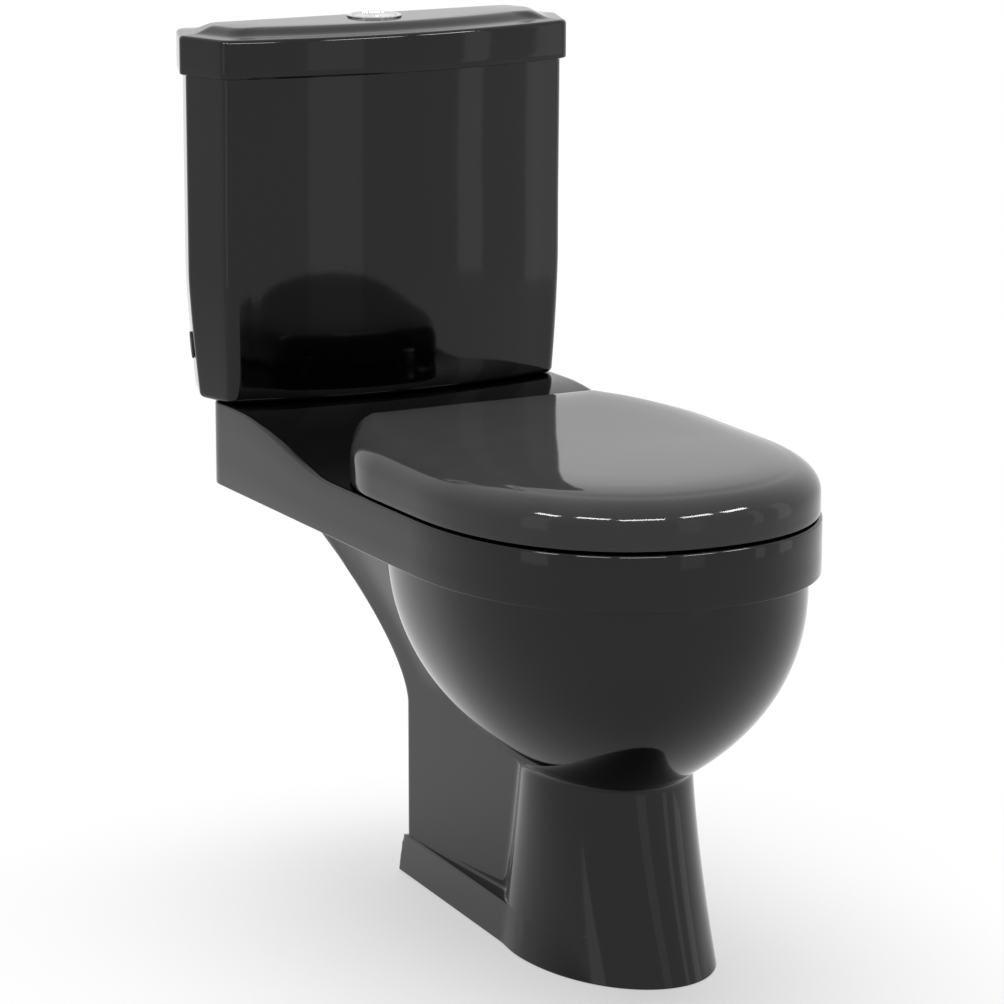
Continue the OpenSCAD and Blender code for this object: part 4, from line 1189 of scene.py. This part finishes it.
# ---- the hinge posts, the buttons and the bolts ----
def make_hinge_post(side, name):
    x, half = side * HINGE_X, BARREL_L / 2
    foot = [(POST_R, 0), (POST_R, POST_H - 1.4), (POST_R - 0.3, POST_H - 0.6), (POST_R - 1.2, POST_H)]
    made = lathe(f"hinge_post_{name}_skin", [(r, RIM_Z + h) for r, h in foot], (x, HOLE_Y, 0))
    web = box((x - half, HINGE_Y - 3.5, RIM_Z + POST_H - 1.2), (x + half, HINGE_Y + 6.5, HINGE_Z - 2.2))
    apply_modifier(web, "BEVEL", width=1.2 * MM, segments=3)
    barrel = lathe("part", [(BARREL_R - 0.8, -half), (BARREL_R, 0.8 - half), (BARREL_R, half - 0.8),
                            (BARREL_R - 0.8, half)], (x, HINGE_Y, HINGE_Z), "X")
    combine(made, [web, barrel], "UNION")
    combine(made, [rod((x, HINGE_Y, HINGE_Z), PIN_R + RUN_FIT, -20, 20, axis="X"),
                   rod((x, HOLE_Y, 0), BOLT_R + THREAD_GAP, RIM_Z - 1, RIM_Z + POST_H + 1)])
    tidy_mesh(made, CHROME)
    return made


def make_button(name, side, gap_x, rod_x):
    """One of the two buttons: a dished piece of a disc beyond a line across it, with its push rod."""
    def ring(d, h):
        r, cut = BUTTON_R - d, gap_x + d
        widest = math.acos(cut / r)
        arc = [(r * math.cos(t), r * math.sin(t)) for t in np.linspace(-widest, widest, 49)]
        chord = [(cut, arc[-1][1] + (arc[0][1] - arc[-1][1]) * t) for t in np.linspace(0, 1, 14)[1:-1]]
        return [(side * x, FLUSH_Y + side * y, CROWN_Z + h) for x, y in arc + chord]

    made = loft(name, [ring(d, h) for d, h in (
        (0.6, -7), (0, -6.4), (0, 0.5), (0.2, 0.9), (0.6, 1.15), (1.0, 1.2), (1.8, 1.1), (3.5, 0.85),
        (6, 0.65))])
    push_rod = [(ROD_R - 0.5, ROD_FOOT), (ROD_R, ROD_FOOT + 0.6), (ROD_R, CROWN_Z - 6.5)]
    combine(made, [lathe("part", push_rod, (rod_x, FLUSH_Y, 0))], "UNION")
    tidy_mesh(made, CHROME)
    return made


def make_bezel():
    bore, barrel, neck, foot = BUTTON_R + REST_GAP, BARREL_OUT - 0.5, BEZEL_R - 1.6, LID_UNDER - 20
    made = lathe("button_bezel_skin", [(bore, foot), (barrel, foot), (barrel, CROWN_Z - 1)] + [
        (r, CROWN_Z + h) for r, h in (
            (neck, -1), (neck, 0.9), (BEZEL_R - 0.3, 0.95), (BEZEL_R, 1.2), (BEZEL_R, 1.6),
            (BEZEL_R - 0.3, 2), (BEZEL_R - 0.9, 2.3), (neck, 2.4), (BEZEL_R - 3.4, 2.2),
            (BEZEL_R - 4.4, 1.7), (bore, 1.1))], (0, FLUSH_Y, 0), steps=96, wrap=True)
    threaded(made, BARREL_OUT, BARREL_THREAD, BARREL_PITCH, foot + 1, LID_UNDER + 5, [(0, FLUSH_Y)] * 2,
             CHROME)
    tidy_mesh(made, CHROME)
    return made


def make_bolts(name, head, foot, plain, x, y, steps=64):
    """A pair of bolts, threaded from the foot to where the plain shank begins.

    The head is its lower and upper height and its radius; with 6 steps it is a hexagon, and
    otherwise round with a slot.
    """
    z0, z1, radius = head
    root = BOLT_R - 0.6
    made = None
    for side in (-1, 1):
        at = (side * x, y, 0)
        bolt = lathe(name, [(root - 0.8, foot), (root, foot + 0.8), (root, plain), (BOLT_R, plain + 0.8),
                            (BOLT_R, z0 + 0.5)], at)
        cap = lathe("part", [(radius, z0), (radius, z1 - 1.2), (radius - 0.5, z1 - 0.4),
                             (radius - 1.4, z1)], at, steps=steps)
        combine(bolt, [cap], "UNION")
        if steps > 6:
            combine(bolt, [box((side * x - 0.7, y - 8, z1 - 1.6), (side * x + 0.7, y + 8, z1 + 1))])
        made = bolt if made is None else combine(made, [bolt], "UNION")
    threaded(made, BOLT_R, BOLT_THREAD, BOLT_PITCH, foot + 1, plain, [(-x, y), (x, y)], BRASS)
    tidy_mesh(made, BRASS)
    return made


def make_ring_nut(name, bore, radius, z0, z1, count):
    """A flat plastic nut round the flush valve's line, with upright grip ribs."""
    body = radius - 1.4
    made = lathe(name, [(bore, z0), (body - 0.6, z0), (body, z0 + 0.6), (body, z1 - 0.6), (body - 0.6, z1),
                        (bore, z1)], (0, FLUSH_Y, 0), steps=96, wrap=True)
    ribbed(made, count, radius - 0.3, (1.8, 1.6, z1 - z0 - 1.6), (0, FLUSH_Y, (z0 + z1) / 2), WHITE)
    tidy_mesh(made, WHITE)
    return made


# ---- the pieces and what each one stands for ----
def place(made, body, slot, node_name):
    """Attaches a piece to what it moves with and hides the node that it stands for; the slot is not used.
    """
    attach(made, body)
    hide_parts(node_name)


place(make_pan(), "toilet", "black_china", "pan")
place(make_cistern(), "toilet", "black_china", "cistern")
place(make_cistern_lid(), "cistern_lid", "black_china", "cistern_lid")
place(make_seat_ring(), "seat_ring", "black_seat", "seat_ring")
place(make_seat_lid(), "seat_lid", "black_seat", "seat_lid")
for hand, name in ((-1, "left"), (1, "right")):
    place(make_hinge_post(hand, name), "toilet", "chrome", f"hinge_post_{name}")
place(make_button("half_flush_button_skin", -1, -SPLIT_X + REST_GAP, -ROD_X),
      "half_button", "chrome", "half_flush_button")
place(make_button("full_flush_button_skin", 1, SPLIT_X + REST_GAP, ROD_X),
      "full_button", "chrome", "full_flush_button")
place(make_bezel(), "cistern_lid", "chrome", "button_bezel")
place(make_bolts("seat_bolts_skin", (RIM_Z + POST_H, RIM_Z + POST_H + 4, 6), POCKET_Z - 34, POCKET_Z + 3,
                 HINGE_X, HOLE_Y), "toilet", "brass", "seat_bolts")
place(make_bolts("coupling_bolts_skin", (CISTERN_FLOOR + 3, CISTERN_FLOOR + 8, 7.6), SHELF_Z - CHINA_T - 24,
                 SHELF_Z - CHINA_T + 4, COUPLE_X, FLUSH_Y, 6), "toilet", "brass", "coupling_bolts")
place(make_ring_nut("button_nut_skin", BARREL_OUT + THREAD_GAP, BUTTON_R + 7, LID_UNDER - 8, LID_UNDER, 24),
      "cistern_lid", "white_plastic", "button_nut")
place(make_ring_nut("flush_valve_backnut_skin", TAIL_R + THREAD_GAP, WELL_R - 5, CISTERN_Z - 12,
                    CISTERN_Z, 36), "toilet", "white_plastic", "flush_valve_backnut")

# the nodes that stay as they are get the same finishes
FINISHES = {"black_china": GLAZE, "black_seat": SEAT, "chrome": CHROME, "steel": STEEL, "brass": BRASS,
            "rubber": RUBBER, "seat_buffer": PADS, "white_plastic": WHITE, "red_plastic": RED,
            "blue_plastic": BLUE}
for part in frame["record"]["subparts"]:
    for slot in frame["nodes"][part["node"]].material_slots:
        slot.material = FINISHES[part["material_slot"]]


# ---- the room, in metres ----
# How much of the white surroundings falls on the object as light, how much of the floor's white is
# its own and how much is paint; the soft sun overhead gives the rest.
FILL = 0.18
FLOOR_GLOW = 0.52
FLOOR_PAINT = "#b8b8b8"
OVERHEAD = 0.85
OVERHEAD_WAY = (-0.1, -0.35, -0.93)
FLOOR_HALF = 14000  # in millimetres, as for every mesh
FLOOR_GAP = 0.5  # how far the floor lies under the foot

# Tall soft panels on each side, which stand in the gloss as upright bands: place, width and strength.
PANELS = ((2.3, -1.0, 0.55, 0.5), (1.9, -1.9, 0.3, 0.5), (-2.6, -0.5, 0.7, 0.5), (0.5, -2.6, 0.6, 0.3))
PANEL_Z = 0.9
PANEL_H = 1.8

# Strip lamps overhead, seen only in the gloss, for the glints along the front of the seat: the way
# each lies from the seat, its height as an angle, and its half length as one.
GLINTS = ((-88, 42, 6), (-55, 46, 9), (-17, 43, 13), (25, 43, 8), (50, 42, 6))
GLINT_AIM = (0, -0.3, 0.43)
GLINT_FAR = 3.5
GLINT_WIDTH = 0.3
GLINT_STRENGTH = 40

# The camera: where it stands, and which way it looks in degrees.
CAMERA_AT = (-1.92171, -3.59621, 1.28308)
CAMERA_YAW = 27.856
CAMERA_PITCH = 12.614
LENS = 167.607
SENSOR = 36


def put(name, content, at, ahead):
    """Places a lamp or the camera, looking this way."""
    made = plain_object(name, content)
    made.location = at
    made.rotation_mode = "QUATERNION"
    made.rotation_quaternion = Vector(ahead).to_track_quat("-Z", "Y")
    return made


def area_light(name, at, aim, width, height, strength):
    """A rectangular lamp, aimed at a point, whose brightness doesn't change with its size."""
    lamp = bpy.data.lights.new(name, "AREA")
    lamp.shape = "RECTANGLE"
    lamp.size, lamp.size_y = width, height
    lamp.energy = strength * math.pi * width * height
    return put(name, lamp, at, Vector(aim) - Vector(at))


def seen(tree):
    """1 where the camera, a mirror or clear glass looks, and 0 where light only falls."""
    path = node(tree, "ShaderNodeLightPath")
    straight = node(tree, "ShaderNodeMath", {
        0: path.outputs["Is Camera Ray"], 1: path.outputs["Is Glossy Ray"]}, operation="MAXIMUM")
    return node(tree, "ShaderNodeMath", {
        0: straight.outputs[0], 1: path.outputs["Is Transmission Ray"]}, operation="MAXIMUM").outputs[0]


def make_surroundings():
    """A world that looks plain white and falls on the object as a weak fill."""
    world = bpy.data.worlds.new("studio")
    bpy.context.scene.world = world
    world.use_nodes = True
    tree = world.node_tree
    tree.nodes.clear()
    white = hex_colour("#ffffff")
    fill = node(tree, "ShaderNodeBackground", {"Color": white, "Strength": FILL})
    shown = node(tree, "ShaderNodeBackground", {"Color": white, "Strength": 1.0})
    mixed = node(tree, "ShaderNodeMixShader", {0: seen(tree), 1: fill.outputs[0], 2: shown.outputs[0]})
    node(tree, "ShaderNodeOutputWorld", {"Surface": mixed.outputs[0]})


def make_floor():
    """A pale matt floor that keeps the object's shadow, and looks as white as what is round it."""
    finish, tree = new_material("pale_studio_floor")
    paint = node(tree, "ShaderNodeBsdfDiffuse", {"Color": hex_colour(FLOOR_PAINT)})
    glow = node(tree, "ShaderNodeEmission", {"Color": hex_colour("#ffffff"), "Strength": FLOOR_GLOW})
    lit = node(tree, "ShaderNodeAddShader", {0: paint.outputs[0], 1: glow.outputs[0]})
    mixed = node(tree, "ShaderNodeMixShader", {0: seen(tree), 1: paint.outputs[0], 2: lit.outputs[0]})
    node(tree, "ShaderNodeOutputMaterial", {"Surface": mixed.outputs[0]})
    corners = ((-1, -1), (1, -1), (1, 1), (-1, 1))
    floor = mesh_object("floor", [(x * FLOOR_HALF, y * FLOOR_HALF, -FLOOR_GAP) for x, y in corners],
                        [(0, 1, 2, 3)])
    tidy_mesh(floor, finish)


def make_lamps():
    """The soft sun overhead, the panels and the strips."""
    sky = bpy.data.lights.new("overhead", "SUN")
    sky.energy = OVERHEAD * math.pi / -OVERHEAD_WAY[2]
    sky.angle = math.radians(60)
    put("overhead", sky, (0, 0, 0), OVERHEAD_WAY).visible_glossy = False
    for i, (x, y, width, strength) in enumerate(PANELS):
        area_light(f"panel_{i}", (x, y, PANEL_Z), (0, 0, PANEL_Z), width, PANEL_H, strength)
    for i, (way, height, half) in enumerate(GLINTS):
        turn, up = math.radians(way), math.radians(height)
        out = Vector((math.sin(turn) * math.cos(up), -math.cos(turn) * math.cos(up), math.sin(up)))
        length = 2 * GLINT_FAR * math.tan(math.radians(half))
        lamp = area_light(f"glint_{i}", out * GLINT_FAR + Vector(GLINT_AIM), GLINT_AIM, length,
                          GLINT_WIDTH, GLINT_STRENGTH)
        lamp.visible_diffuse = False


def make_camera():
    """A long lens from the front and the left, a little above."""
    data = bpy.data.cameras.new("camera")
    data.lens, data.sensor_width = LENS, SENSOR
    data.clip_start, data.clip_end = 0.1, 60
    yaw, pitch = math.radians(CAMERA_YAW), math.radians(CAMERA_PITCH)
    ahead = (math.sin(yaw) * math.cos(pitch), math.cos(yaw) * math.cos(pitch), -math.sin(pitch))
    bpy.context.scene.camera = put("camera", data, CAMERA_AT, ahead)


bpy.context.scene.view_settings.view_transform = "Standard"
make_surroundings()
make_floor()
make_lamps()
make_camera()
